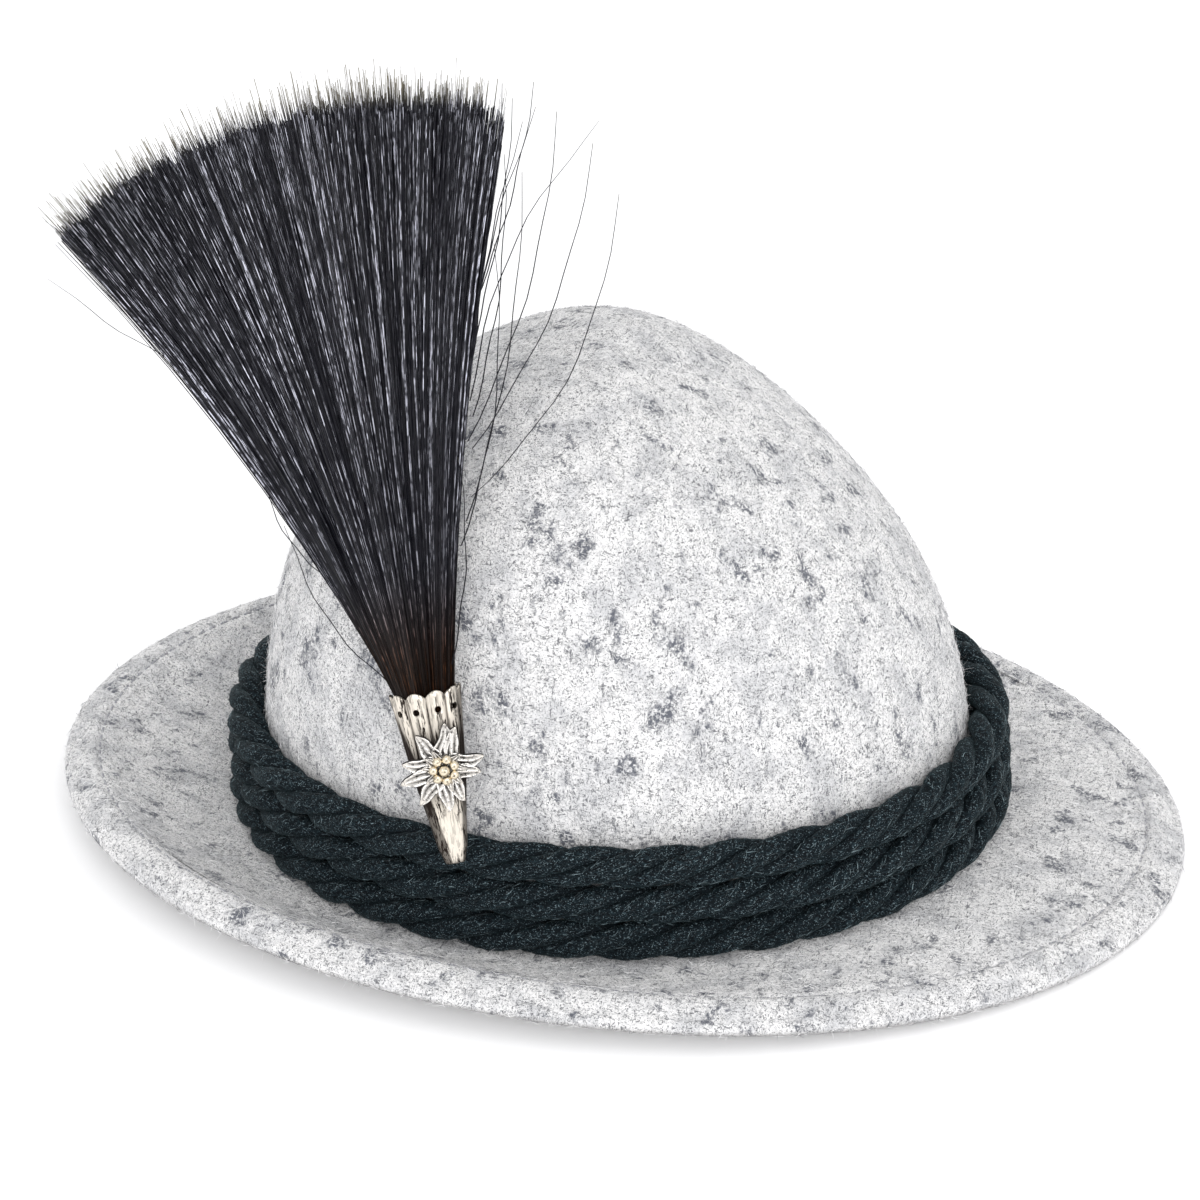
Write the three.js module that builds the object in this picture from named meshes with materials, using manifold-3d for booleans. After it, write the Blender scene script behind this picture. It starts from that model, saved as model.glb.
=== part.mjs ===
// A tyrolean hat of grey felt, with three twisted cords round the crown,
// a silver holder with an edelweiss on it, and a brush of dark hair.
// Millimetres. The front of the hat is +X, its left side +Y, up is +Z.
// The shapes are made on a level hat, which then settles on the table.
import * as THREE from "three";
import Module from "manifold-3d";
import { mergeVertices } from "three/addons/utils/BufferGeometryUtils.js";

const wasm = await Module();
wasm.setup();

const FULL_TURN = Math.PI * 2;
const QUARTER_TURN = Math.PI / 2;
const HALF = 1 / 2;

// Head and felt
const HEAD_LENGTH = 194;
const HEAD_WIDTH = 161;
const FELT = 2.6;

// Crown, a dome that slopes more at the front than at the back
const CROWN_HEIGHT = 136.8;
const CROWN_FRONT_TAPER = 1.7;
const CROWN_BACK_TAPER = 0.98;
const CROWN_SIDE_FULLNESS = 0.53;
const CROWN_SHOULDER = 0.78;
const CROWN_TOP_FORWARD = 2.1;
const CROWN_STATIONS = [
  { turn: 0.93 },
  { turn: 0.84 },
  { turn: 0.74 },
  { turn: 0.63 },
  { turn: 0.52 },
  { turn: 0.41 },
  { turn: 0.3 },
  { turn: 0.2 },
  { turn: 0.11 },
  { turn: 0.045 },
];

// Brim, high at the back, low at the front
const BRIM_LENGTH = 317;
const BRIM_WIDTH = 244;
const BRIM_RISE_BACK = 12.2;
const BRIM_RISE_SIDE = 4.5;
const BRIM_DIP_FRONT = 7.9;
const BRIM_FLAT = 8;
const BRIM_BEND = 1.6;
const FOOT_ROUND = 3;
const FOOT_STATIONS = [{ turn: 0 }, { turn: 0.5 }, { turn: 1 }];
const BRIM_STATIONS = [{ share: 0 }, { share: 0.25 }, { share: 0.5 }, { share: 0.78 }];

// Hem, the felt folded under at the edge and stitched down
const HEM_WIDTH = 10.5;
const HEM_THICKNESS = 4.8;
const HEM_DROP_BACK = 2.5;
const HEM_DROP_FRONT = 4.5;
const HEM_CURL = 1.7;
const STITCH_DEPTH = 0.5;
const STITCH_SPREAD = 1.3;
const HEM_STATIONS = [{ share: 0.15 }, { share: 0.45 }];
const EDGE_STATIONS = [{ turn: 1 }, { turn: 0.45 }, { turn: -0.1 }, { turn: -0.6 }, { turn: -1 }];

// How far the felt is pressed flat where the hat rests
const FRONT_PRESS = 1;
const BACK_PRESS = 0.5;
const FELT_SEGMENTS = 44;

// Cords, each of three strands laid together
const CORD_RADIUS = 5.2;
const CORD_GAP = 0.35;
const CORD_VALLEY = 0.74;
const CORD_TWISTS = 12;
const CORD_STEPS = 84;
const CORD_STRANDS = 3;
const POINTS_A_STRAND = 3;
const CORDS = [
  { name: "cord_lower", row: 0 },
  { name: "cord_middle", row: 1 },
  { name: "cord_upper", row: 2 },
];

// Holder, a flattened cone with a scalloped mouth
const HOLDER_LENGTH = 44;
const HOLDER_WIDTH = 17.8;
const HOLDER_DEPTH = 13;
const HOLDER_WALL = 0.8;
const HOLDER_AROUND = -98.6;
const HOLDER_FOOT_HEIGHT = 28.6;
const HOLDER_STANDOFF = 13;
const HOLDER_LEAN_IN = 16.8;
const HOLDER_LEAN_BACK = 13.6;
const HOLDER_TURN = 30;
const HOLDER_SEGMENTS = 32;
const SCALLOPS = 8;
const SCALLOP_HEIGHT = 2.2;
const EYELET_DIAMETER = 1.7;
const EYELET_BELOW_MOUTH = 3;
const EYELET_SIDES = 6;
const HOLDER_STATIONS = [
  { along: 0, spread: 0.28 },
  { along: 0.1, spread: 0.43 },
  { along: 0.26, spread: 0.55 },
  { along: 0.5, spread: 0.75 },
  { along: 0.75, spread: 0.89 },
  { along: 1, spread: 1 },
];
const HOLLOW_STATIONS = [
  { along: 1, spread: 1 },
  { along: 0.5, spread: 0.75 },
  { along: 0.2, spread: 0.49 },
];

// Stud on the back of the holder, through the felt
const STUD_ALONG = 33;
const STUD_DIAMETER = 2;
const STUD_CLEARANCE = 0.45;
const STUD_HEAD_DIAMETER = 6;
const STUD_HEAD_THICKNESS = 1.2;
const STUD_HEAD_BEYOND_FELT = 0.7;
const STUD_SIDES = 12;

// Edelweiss on the front of the holder
const FLOWER_ALONG = 24.5;
const FLOWER_ASIDE = 1.5;
const FLOWER_SEAT_GAP = 0.45;
const FLOWER_TIP_BACK = 6;
const FLOWER_DISC_RADIUS = 4;
const FLOWER_DISC_THICKNESS = 1.1;
const FLOWER_DISC_SIDES = 20;
const PETAL_WIDTH = 3.1;
const PETAL_THICKNESS = 0.9;
const PETAL_RIDGE = 0.5;
const PETAL_ROOT = 1.6;
const INNER_PETAL_LENGTH = 6.6;
const INNER_PETAL_LIFT = 0.7;
const INNER_PETAL_WIDTH = 2.5;
const BEAD_RADIUS = 1.25;
const BEAD_RING_RADIUS = 2.5;
const BEADS_IN_RING = 7;
const BEAD_LIFT = 1.9;
const RIVET_DIAMETER = 1.6;
const RIVET_CLEARANCE = 0.4;
const RIVET_LENGTH = 2;
const PETALS = [
  { angle: 22, length: 10.5 },
  { angle: 58, length: 11.6 },
  { angle: 90, length: 12.1 },
  { angle: 120, length: 11.5 },
  { angle: 157, length: 10.8 },
  { angle: 193, length: 11.9 },
  { angle: 229, length: 11.3 },
  { angle: 260, length: 11.1 },
  { angle: 300, length: 9.7 },
  { angle: 340, length: 9.4 },
];
const INNER_PETALS = [
  { angle: 4 },
  { angle: 41 },
  { angle: 105 },
  { angle: 139 },
  { angle: 175 },
  { angle: 211 },
  { angle: 279 },
  { angle: 320 },
];

// Brush of hair, in locks that spread like a fan from the mouth
const BRUSH_LENGTH = 153;
const BRUSH_HEAD_DEPTH = 7;
const BRUSH_HEAD_GAP = 0.4;
const BRUSH_HEAD_PROUD = 0.6;
const LOCK_ROOT_WIDTH = 3.6;
const LOCK_TIP_WIDTH = 23;
const LOCK_ROOT_THICKNESS = 5;
const LOCK_TIP_THICKNESS = 11;
const LOCK_ROW_OFFSET = 1.1;
const LOCK_ROOT_SPREAD = 1;
const LOCK_SIDES = 6;
const LOCK_STATIONS = [
  { along: 0, width: 0, fill: 1 },
  { along: 0.06, width: 0.03, fill: 1 },
  { along: 0.45, width: 0.42, fill: 1 },
  { along: 0.88, width: 0.9, fill: 1 },
  { along: 1, width: 1, fill: 0.45 },
];
const LOCKS = [
  { lean: -26.5, length: 1, row: 1 },
  { lean: -21, length: 0.985, row: -1 },
  { lean: -15.5, length: 1, row: 1 },
  { lean: -10, length: 0.99, row: -1 },
  { lean: -4.5, length: 1, row: 1 },
  { lean: 1, length: 0.985, row: -1 },
  { lean: 6.5, length: 0.995, row: 1 },
  { lean: 12, length: 0.98, row: -1 },
  { lean: 16.5, length: 0.97, row: 1 },
];

// Skin over a row of rings. The ends close on a middle point, or on each other.
function skin(rings, { first = null, last = null, ringed = false }) {
  const count = rings[0].length;
  const points = rings.flat();
  const faces = [];
  const pairs = ringed ? rings.length : rings.length - 1;
  for (let ring = 0; ring < pairs; ring += 1) {
    const here = ring * count;
    const next = ((ring + 1) % rings.length) * count;
    for (let step = 0; step < count; step += 1) {
      const after = (step + 1) % count;
      faces.push(here + step, next + step, next + after);
      faces.push(here + step, next + after, here + after);
    }
  }
  if (first) {
    const middle = points.push(first) - 1;
    for (let step = 0; step < count; step += 1) {
      faces.push(middle, step, (step + 1) % count);
    }
  }
  if (last) {
    const middle = points.push(last) - 1;
    const base = (rings.length - 1) * count;
    for (let step = 0; step < count; step += 1) {
      faces.push(middle, base + ((step + 1) % count), base + step);
    }
  }
  const geometry = new THREE.BufferGeometry();
  geometry.setFromPoints(points);
  geometry.setIndex(faces);
  return geometry;
}

function toSolid(geometry) {
  const plain = geometry.clone();
  plain.deleteAttribute("normal");
  plain.deleteAttribute("uv");
  const welded = mergeVertices(plain);
  return new wasm.Manifold(new wasm.Mesh({
    numProp: 3,
    vertProperties: new Float32Array(welded.attributes.position.array),
    triVerts: new Uint32Array(welded.index.array),
  }));
}

function toGeometry(solid) {
  const mesh = solid.getMesh();
  const geometry = new THREE.BufferGeometry();
  const positions = new Float32Array(mesh.vertProperties);
  geometry.setAttribute("position", new THREE.BufferAttribute(positions, 3));
  geometry.setIndex(new THREE.BufferAttribute(new Uint32Array(mesh.triVerts), 1));
  return geometry;
}

function fuse(geometries) {
  return geometries.map(toSolid).reduce((whole, piece) => whole.add(piece));
}

// Crown
const FOOT_X = HEAD_LENGTH * HALF + FELT;
const FOOT_Y = HEAD_WIDTH * HALF + FELT;

function crownPoint(turn, around, inset) {
  const forward = HALF + HALF * Math.cos(around);
  const sideways = Math.sin(around) ** 2;
  const slope = CROWN_FRONT_TAPER - CROWN_BACK_TAPER;
  const taper = CROWN_BACK_TAPER + slope * forward - CROWN_SIDE_FULLNESS * sideways;
  const spread = Math.cos(turn * QUARTER_TURN) ** taper;
  const lift = Math.sin(turn * QUARTER_TURN) ** CROWN_SHOULDER;
  return new THREE.Vector3(
    (FOOT_X - inset) * spread * Math.cos(around) + CROWN_TOP_FORWARD * lift,
    (FOOT_Y - inset) * spread * Math.sin(around),
    (CROWN_HEIGHT - inset) * lift,
  );
}

function turnAtHeight(height) {
  return Math.asin((height / CROWN_HEIGHT) ** (1 / CROWN_SHOULDER)) / QUARTER_TURN;
}

// Brim
const BRIM_OUT_X = BRIM_LENGTH * HALF - FOOT_X;
const BRIM_OUT_Y = BRIM_WIDTH * HALF - FOOT_Y;

function brimReach(around) {
  return Math.hypot(BRIM_OUT_X * Math.cos(around), BRIM_OUT_Y * Math.sin(around));
}

function brimPoint(out, height, around) {
  const reach = brimReach(around);
  const blend = Math.max(0, out / reach) ** 2;
  const outX = out * (1 + (BRIM_OUT_X / reach - 1) * blend);
  const outY = out * (1 + (BRIM_OUT_Y / reach - 1) * blend);
  return new THREE.Vector3(
    (FOOT_X + outX) * Math.cos(around),
    (FOOT_Y + outY) * Math.sin(around),
    height,
  );
}

function rimRise(around) {
  const mean = (BRIM_RISE_BACK - BRIM_DIP_FRONT) * HALF;
  const swing = (BRIM_RISE_BACK + BRIM_DIP_FRONT) * HALF;
  const along = Math.cos(around);
  return BRIM_RISE_SIDE * (1 - along ** 2) + mean * along ** 2 - swing * along;
}

function hemDrop(around) {
  const forward = HALF + HALF * Math.cos(around);
  return HEM_DROP_BACK + (HEM_DROP_FRONT - HEM_DROP_BACK) * forward;
}

function brimTop(out, around) {
  const seam = brimReach(around) - HEM_WIDTH;
  const crest = rimRise(around) + hemDrop(around);
  if (out <= seam) {
    const share = Math.max(0, (out - BRIM_FLAT) / (seam - BRIM_FLAT));
    return crest * share ** BRIM_BEND;
  }
  return crest - hemDrop(around) * ((out - seam) / HEM_WIDTH) ** HEM_CURL;
}

function feltRing(place) {
  const ring = [];
  for (let step = 0; step < FELT_SEGMENTS; step += 1) {
    ring.push(place((FULL_TURN * step) / FELT_SEGMENTS));
  }
  return ring;
}

function seamOut(around) {
  return brimReach(around) - HEM_WIDTH;
}

function footRing(turn, round) {
  const across = Math.cos(turn * QUARTER_TURN);
  const down = Math.sin(turn * QUARTER_TURN);
  return feltRing((around) => brimPoint(FOOT_ROUND - round * across, FOOT_ROUND - round * down, around));
}

function brimRing(share, thickness) {
  return feltRing((around) => {
    const out = BRIM_FLAT + share * (seamOut(around) - BRIM_FLAT);
    return brimPoint(out, brimTop(out, around) - thickness, around);
  });
}

function hemRing(beyondSeam, thickness) {
  return feltRing((around) => {
    const out = seamOut(around) + beyondSeam;
    return brimPoint(out, brimTop(out, around) - thickness, around);
  });
}

function edgeRing(turn) {
  const round = HEM_THICKNESS * HALF;
  return feltRing((around) => {
    const middle = brimReach(around) - round;
    const out = middle + round * Math.cos(turn * QUARTER_TURN);
    const height = brimTop(middle, around) - round + round * Math.sin(turn * QUARTER_TURN);
    return brimPoint(out, height, around);
  });
}

function hatBody() {
  const rings = [];
  CROWN_STATIONS.forEach(({ turn }) => rings.push(feltRing((around) => crownPoint(turn, around, 0))));
  FOOT_STATIONS.forEach(({ turn }) => rings.push(footRing(turn, FOOT_ROUND)));
  BRIM_STATIONS.forEach(({ share }) => rings.push(brimRing(share, 0)));
  rings.push(hemRing(-STITCH_SPREAD, 0));
  rings.push(hemRing(0, STITCH_DEPTH));
  HEM_STATIONS.forEach(({ share }) => rings.push(hemRing(share * HEM_WIDTH, 0)));
  EDGE_STATIONS.forEach(({ turn }) => rings.push(edgeRing(turn)));
  rings.push(hemRing(HEM_STATIONS[1].share * HEM_WIDTH, HEM_THICKNESS));
  rings.push(hemRing(STITCH_SPREAD * HALF, HEM_THICKNESS));
  rings.push(hemRing(0, FELT));
  BRIM_STATIONS.toReversed().forEach(({ share }) => rings.push(brimRing(share, FELT)));
  FOOT_STATIONS.toReversed().forEach(({ turn }) => rings.push(footRing(turn, FOOT_ROUND + FELT)));
  CROWN_STATIONS.toReversed().forEach(({ turn }) => {
    rings.push(feltRing((around) => crownPoint(turn, around, FELT)));
  });
  return skin(rings, {
    first: new THREE.Vector3(CROWN_TOP_FORWARD, 0, CROWN_HEIGHT),
    last: new THREE.Vector3(CROWN_TOP_FORWARD, 0, CROWN_HEIGHT - FELT),
  });
}

// Cords
function cordRing(row) {
  const height = CORD_RADIUS + CORD_GAP + row * (CORD_RADIUS * 2 + CORD_GAP);
  const turn = turnAtHeight(height);
  const rings = [];
  for (let step = 0; step < CORD_STEPS; step += 1) {
    const around = (FULL_TURN * step) / CORD_STEPS;
    const wall = crownPoint(turn, around, 0);
    const outward = new THREE.Vector3(Math.cos(around), Math.sin(around), 0);
    const middle = wall.addScaledVector(outward, CORD_RADIUS + CORD_GAP);
    const ring = [];
    const count = CORD_STRANDS * POINTS_A_STRAND;
    for (let point = 0; point < count; point += 1) {
      const angle = (FULL_TURN * point) / count + CORD_TWISTS * around;
      const radius = point % POINTS_A_STRAND === 0 ? CORD_RADIUS * CORD_VALLEY : CORD_RADIUS;
      const spot = middle.clone().addScaledVector(outward, radius * Math.cos(angle));
      spot.z += radius * Math.sin(angle);
      ring.push(spot);
    }
    rings.push(ring);
  }
  return skin(rings, { ringed: true });
}

// Holder, made upright on its foot with its front towards -Y, then set on the hat
function ovalRing(along, halfWidth, halfDepth, count, rise = () => 0) {
  const ring = [];
  for (let step = 0; step < count; step += 1) {
    const angle = (-FULL_TURN * step) / count;
    ring.push(new THREE.Vector3(
      halfWidth * Math.cos(angle),
      halfDepth * Math.sin(angle),
      along + rise(angle),
    ));
  }
  return ring;
}

function scallop(angle) {
  return SCALLOP_HEIGHT * Math.abs(Math.sin(angle * SCALLOPS * HALF));
}

function spreadAt(along) {
  const share = along / HOLDER_LENGTH;
  const upper = HOLDER_STATIONS.findIndex((station) => station.along >= share);
  const high = HOLDER_STATIONS[upper];
  const low = HOLDER_STATIONS[upper - 1];
  const part = (share - low.along) / (high.along - low.along);
  return low.spread + (high.spread - low.spread) * part;
}

function holderRings(stations, inset) {
  return stations.map(({ along, spread }) => ovalRing(
    along * HOLDER_LENGTH,
    HOLDER_WIDTH * HALF * spread - inset,
    HOLDER_DEPTH * HALF * spread - inset,
    HOLDER_SEGMENTS,
    along === 1 ? scallop : () => 0,
  ));
}

function rod(diameter, length, sides) {
  return new THREE.CylinderGeometry(diameter * HALF, diameter * HALF, length, sides);
}

// Round hole through the felt for the stud, from the holder's middle line inwards
function feltHole() {
  const length = HOLDER_STANDOFF + FELT * 2;
  const hole = rod(STUD_DIAMETER + STUD_CLEARANCE * 2, length, STUD_SIDES);
  return hole.translate(0, length * HALF, STUD_ALONG);
}

function holderSolid(innerWallAway) {
  const outer = holderRings(HOLDER_STATIONS, 0);
  const inner = holderRings(HOLLOW_STATIONS, HOLDER_WALL);
  const foot = new THREE.Vector3(0, 0, 0);
  const bottom = new THREE.Vector3(0, 0, HOLLOW_STATIONS.at(-1).along * HOLDER_LENGTH);
  let solid = toSolid(skin([...outer, ...inner], { first: foot, last: bottom }));
  for (let lobe = 0; lobe < SCALLOPS; lobe += 1) {
    const angle = (FULL_TURN * (lobe + HALF)) / SCALLOPS;
    const eyelet = rod(EYELET_DIAMETER, HOLDER_DEPTH * HALF, EYELET_SIDES);
    const away = Math.atan2(HOLDER_WIDTH * Math.sin(angle), HOLDER_DEPTH * Math.cos(angle));
    eyelet.rotateZ(away - QUARTER_TURN);
    eyelet.translate(
      HOLDER_WIDTH * HALF * Math.cos(angle),
      HOLDER_DEPTH * HALF * Math.sin(angle),
      HOLDER_LENGTH - EYELET_BELOW_MOUTH,
    );
    solid = solid.subtract(toSolid(eyelet));
  }
  const rivetHole = rod(RIVET_DIAMETER + RIVET_CLEARANCE * 2, HOLDER_DEPTH * HALF, STUD_SIDES);
  rivetHole.translate(FLOWER_ASIDE, -HOLDER_DEPTH * HALF, FLOWER_ALONG);
  solid = solid.subtract(toSolid(rivetHole)).rotate([0, 0, HOLDER_TURN]);
  const backFace = HOLDER_DEPTH * HALF * spreadAt(STUD_ALONG) - HOLDER_WALL * HALF;
  const headStart = innerWallAway + STUD_HEAD_BEYOND_FELT;
  const shank = rod(STUD_DIAMETER, headStart + STUD_HEAD_THICKNESS * HALF - backFace, STUD_SIDES);
  shank.translate(0, (backFace + headStart + STUD_HEAD_THICKNESS * HALF) * HALF, STUD_ALONG);
  const head = rod(STUD_HEAD_DIAMETER, STUD_HEAD_THICKNESS, STUD_SIDES);
  head.translate(0, headStart + STUD_HEAD_THICKNESS * HALF, STUD_ALONG);
  return solid.add(fuse([shank, head]));
}

// Edelweiss, made flat with its front towards -Y
function petal(length, width, lift) {
  const halfWidth = width * HALF;
  const back = -lift;
  const front = back - PETAL_THICKNESS;
  const widest = length * HALF;
  const points = [
    { x: PETAL_ROOT, y: back, z: -halfWidth * HALF },
    { x: PETAL_ROOT, y: back, z: halfWidth * HALF },
    { x: widest, y: back, z: halfWidth },
    { x: length, y: back - PETAL_THICKNESS * HALF, z: 0 },
    { x: widest, y: back, z: -halfWidth },
    { x: PETAL_ROOT, y: front, z: -halfWidth * HALF },
    { x: PETAL_ROOT, y: front, z: halfWidth * HALF },
    { x: widest, y: front, z: halfWidth },
    { x: widest, y: front - PETAL_RIDGE, z: 0 },
    { x: widest, y: front, z: -halfWidth },
  ];
  const faces = [
    [0, 1, 2],
    [0, 2, 4],
    [4, 2, 3],
    [5, 8, 6],
    [6, 8, 7],
    [7, 8, 3],
    [8, 9, 3],
    [5, 9, 8],
    [0, 6, 1],
    [0, 5, 6],
    [1, 7, 2],
    [1, 6, 7],
    [2, 7, 3],
    [3, 9, 4],
    [4, 5, 0],
    [4, 9, 5],
  ];
  const geometry = new THREE.BufferGeometry();
  geometry.setFromPoints(points.map(({ x, y, z }) => new THREE.Vector3(x, y, z)));
  geometry.setIndex(faces.flat());
  return geometry;
}

function edelweiss() {
  const parts = [];
  const disc = rod(FLOWER_DISC_RADIUS * 2, FLOWER_DISC_THICKNESS + INNER_PETAL_LIFT, FLOWER_DISC_SIDES);
  disc.translate(0, -(FLOWER_DISC_THICKNESS + INNER_PETAL_LIFT) * HALF, 0);
  parts.push(disc);
  PETALS.forEach(({ angle, length }) => {
    const leaf = petal(length, PETAL_WIDTH, 0);
    parts.push(leaf.rotateY(THREE.MathUtils.degToRad(-angle)));
  });
  INNER_PETALS.forEach(({ angle }) => {
    const leaf = petal(INNER_PETAL_LENGTH, INNER_PETAL_WIDTH, INNER_PETAL_LIFT);
    parts.push(leaf.rotateY(THREE.MathUtils.degToRad(-angle)));
  });
  const rivet = rod(RIVET_DIAMETER, RIVET_LENGTH + FLOWER_DISC_THICKNESS, STUD_SIDES);
  rivet.translate(0, (RIVET_LENGTH - FLOWER_DISC_THICKNESS) * HALF, 0);
  parts.push(rivet);
  for (let bead = 0; bead <= BEADS_IN_RING; bead += 1) {
    const ball = new THREE.OctahedronGeometry(BEAD_RADIUS, 1);
    const angle = (FULL_TURN * bead) / BEADS_IN_RING;
    const ring = bead === BEADS_IN_RING ? 0 : BEAD_RING_RADIUS;
    const lift = bead === BEADS_IN_RING ? BEAD_LIFT + BEAD_RADIUS * HALF : BEAD_LIFT;
    ball.translate(ring * Math.cos(angle), -lift, ring * Math.sin(angle));
    parts.push(ball);
  }
  return toGeometry(fuse(parts));
}

// Brush
function lock({ lean, length, row }) {
  const tilt = THREE.MathUtils.degToRad(lean);
  const root = LOCK_ROOT_SPREAD * (lean / LOCKS[0].lean) * -1;
  const along = new THREE.Vector3(Math.sin(tilt), 0, Math.cos(tilt));
  const across = new THREE.Vector3(Math.cos(tilt), 0, -Math.sin(tilt));
  const depth = new THREE.Vector3(0, 1, 0);
  const rings = LOCK_STATIONS.map((station) => {
    const middle = new THREE.Vector3(root, row * LOCK_ROW_OFFSET, -BRUSH_HEAD_DEPTH * HALF);
    middle.addScaledVector(along, station.along * (BRUSH_LENGTH * length + BRUSH_HEAD_DEPTH * HALF));
    const width = LOCK_ROOT_WIDTH + (LOCK_TIP_WIDTH - LOCK_ROOT_WIDTH) * station.width;
    const thick = LOCK_ROOT_THICKNESS + (LOCK_TIP_THICKNESS - LOCK_ROOT_THICKNESS) * station.width;
    const ring = [];
    for (let side = 0; side < LOCK_SIDES; side += 1) {
      const angle = (-FULL_TURN * side) / LOCK_SIDES;
      const spot = middle.clone();
      spot.addScaledVector(across, width * HALF * station.fill * Math.cos(angle));
      spot.addScaledVector(depth, thick * HALF * station.fill * Math.sin(angle));
      ring.push(spot);
    }
    return ring;
  });
  const ends = [rings[0], rings.at(-1)].map((ring) => {
    const middle = new THREE.Vector3();
    ring.forEach((spot) => middle.addScaledVector(spot, 1 / ring.length));
    return middle;
  });
  return skin(rings, { first: ends[0], last: ends[1] });
}

function hairBrush() {
  const inset = HOLDER_WALL + BRUSH_HEAD_GAP;
  const lowSpread = spreadAt(HOLDER_LENGTH - BRUSH_HEAD_DEPTH);
  const head = skin([
    ovalRing(-BRUSH_HEAD_DEPTH, HOLDER_WIDTH * HALF * lowSpread - inset,
      HOLDER_DEPTH * HALF * lowSpread - inset, HOLDER_SEGMENTS * HALF),
    ovalRing(BRUSH_HEAD_PROUD, HOLDER_WIDTH * HALF - inset,
      HOLDER_DEPTH * HALF - inset, HOLDER_SEGMENTS * HALF),
  ], {
    first: new THREE.Vector3(0, 0, -BRUSH_HEAD_DEPTH),
    last: new THREE.Vector3(0, 0, BRUSH_HEAD_PROUD),
  }).rotateZ(THREE.MathUtils.degToRad(HOLDER_TURN));
  return toGeometry(fuse([head, ...LOCKS.map(lock)]));
}

// Where the holder's foot stands on the hat, and which way it leans
function holderFrame() {
  const around = THREE.MathUtils.degToRad(HOLDER_AROUND);
  const foot = crownPoint(turnAtHeight(HOLDER_FOOT_HEIGHT), around, 0);
  const outward = new THREE.Vector3(FOOT_Y * Math.cos(around), FOOT_X * Math.sin(around), 0).normalize();
  foot.addScaledVector(outward, HOLDER_STANDOFF);
  const along = new THREE.Vector3(
    -Math.tan(THREE.MathUtils.degToRad(HOLDER_LEAN_BACK)),
    Math.tan(THREE.MathUtils.degToRad(HOLDER_LEAN_IN)),
    1,
  ).normalize();
  const inward = outward.negate().addScaledVector(along, -outward.dot(along)).normalize();
  const across = new THREE.Vector3().crossVectors(inward, along);
  return new THREE.Matrix4().makeBasis(across, inward, along).setPosition(foot);
}

// The tilt at which the front hem and the back of the brim both touch the table
const FRONT_UNDER = edgeRing(EDGE_STATIONS.at(-1).turn)[0];
const BACK_UNDER = brimPoint(BRIM_FLAT, -FELT, Math.PI);
const REST_TILT = Math.atan2(
  BACK_UNDER.z + BACK_PRESS - FRONT_UNDER.z - FRONT_PRESS,
  FRONT_UNDER.x - BACK_UNDER.x,
);
const REST_DROP = BACK_UNDER.clone().applyAxisAngle(new THREE.Vector3(0, 1, 0), -REST_TILT).z + BACK_PRESS;

function settle(geometry) {
  geometry.rotateY(-REST_TILT);
  geometry.translate(0, 0, -REST_DROP);
  return geometry;
}

function pressFlat(geometry) {
  const spots = geometry.attributes.position;
  for (let index = 0; index < spots.count; index += 1) {
    spots.setZ(index, Math.max(0, spots.getZ(index)));
  }
  return geometry;
}

const setOnHat = holderFrame();

// Distance from the holder's middle line to the inside of the felt, along the stud
function innerWallAway() {
  const start = new THREE.Vector3(0, 0, STUD_ALONG).applyMatrix4(setOnHat);
  const inward = new THREE.Vector3().setFromMatrixColumn(setOnHat, 1);
  const felt = new THREE.Mesh(hatBody(), new THREE.MeshBasicMaterial({ side: THREE.DoubleSide }));
  const hits = new THREE.Raycaster(start, inward).intersectObject(felt);
  return hits[1].distance;
}

const body = toGeometry(toSolid(hatBody()).subtract(toSolid(feltHole().applyMatrix4(setOnHat))));
const holder = toGeometry(holderSolid(innerWallAway())).applyMatrix4(setOnHat);

const flower = edelweiss();
flower.rotateX(THREE.MathUtils.degToRad(FLOWER_TIP_BACK));
flower.translate(FLOWER_ASIDE, -HOLDER_DEPTH * HALF * spreadAt(FLOWER_ALONG) - FLOWER_SEAT_GAP, FLOWER_ALONG);
flower.rotateZ(THREE.MathUtils.degToRad(HOLDER_TURN));
flower.applyMatrix4(setOnHat);

const brush = hairBrush();
brush.translate(0, 0, HOLDER_LENGTH);
brush.applyMatrix4(setOnHat);

const felt = new THREE.MeshStandardMaterial({ color: 0xc9cbcf, roughness: 0.95, metalness: 0 });
const cordWool = new THREE.MeshStandardMaterial({ color: 0x0f2329, roughness: 0.85, metalness: 0 });
const silver = new THREE.MeshStandardMaterial({ color: 0xb3aea4, roughness: 0.35, metalness: 1 });
const paleSilver = new THREE.MeshStandardMaterial({ color: 0xc4beb2, roughness: 0.3, metalness: 1 });
const hair = new THREE.MeshStandardMaterial({ color: 0x14151a, roughness: 0.6, metalness: 0 });

const hat = new THREE.Group();
hat.name = "tyrolean_hat";

function place(name, geometry, material) {
  const mesh = new THREE.Mesh(geometry, material);
  mesh.name = name;
  hat.add(mesh);
}

place("hat_body", pressFlat(settle(body)), felt);
CORDS.forEach(({ name, row }) => place(name, settle(cordRing(row)), cordWool.clone()));
place("holder", settle(holder), silver);
place("edelweiss", settle(flower), paleSilver);
place("hair_brush", settle(brush), hair);

export default hat;
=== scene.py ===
# %% [markdown]
# A tyrolean hat in grey marled felt, dressed over its measured model.
# The imported model gives every place and size, so it is loaded first.

# %% Load the measured model
import math
import bpy
import numpy as np
from mathutils import Matrix, Vector


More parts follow.
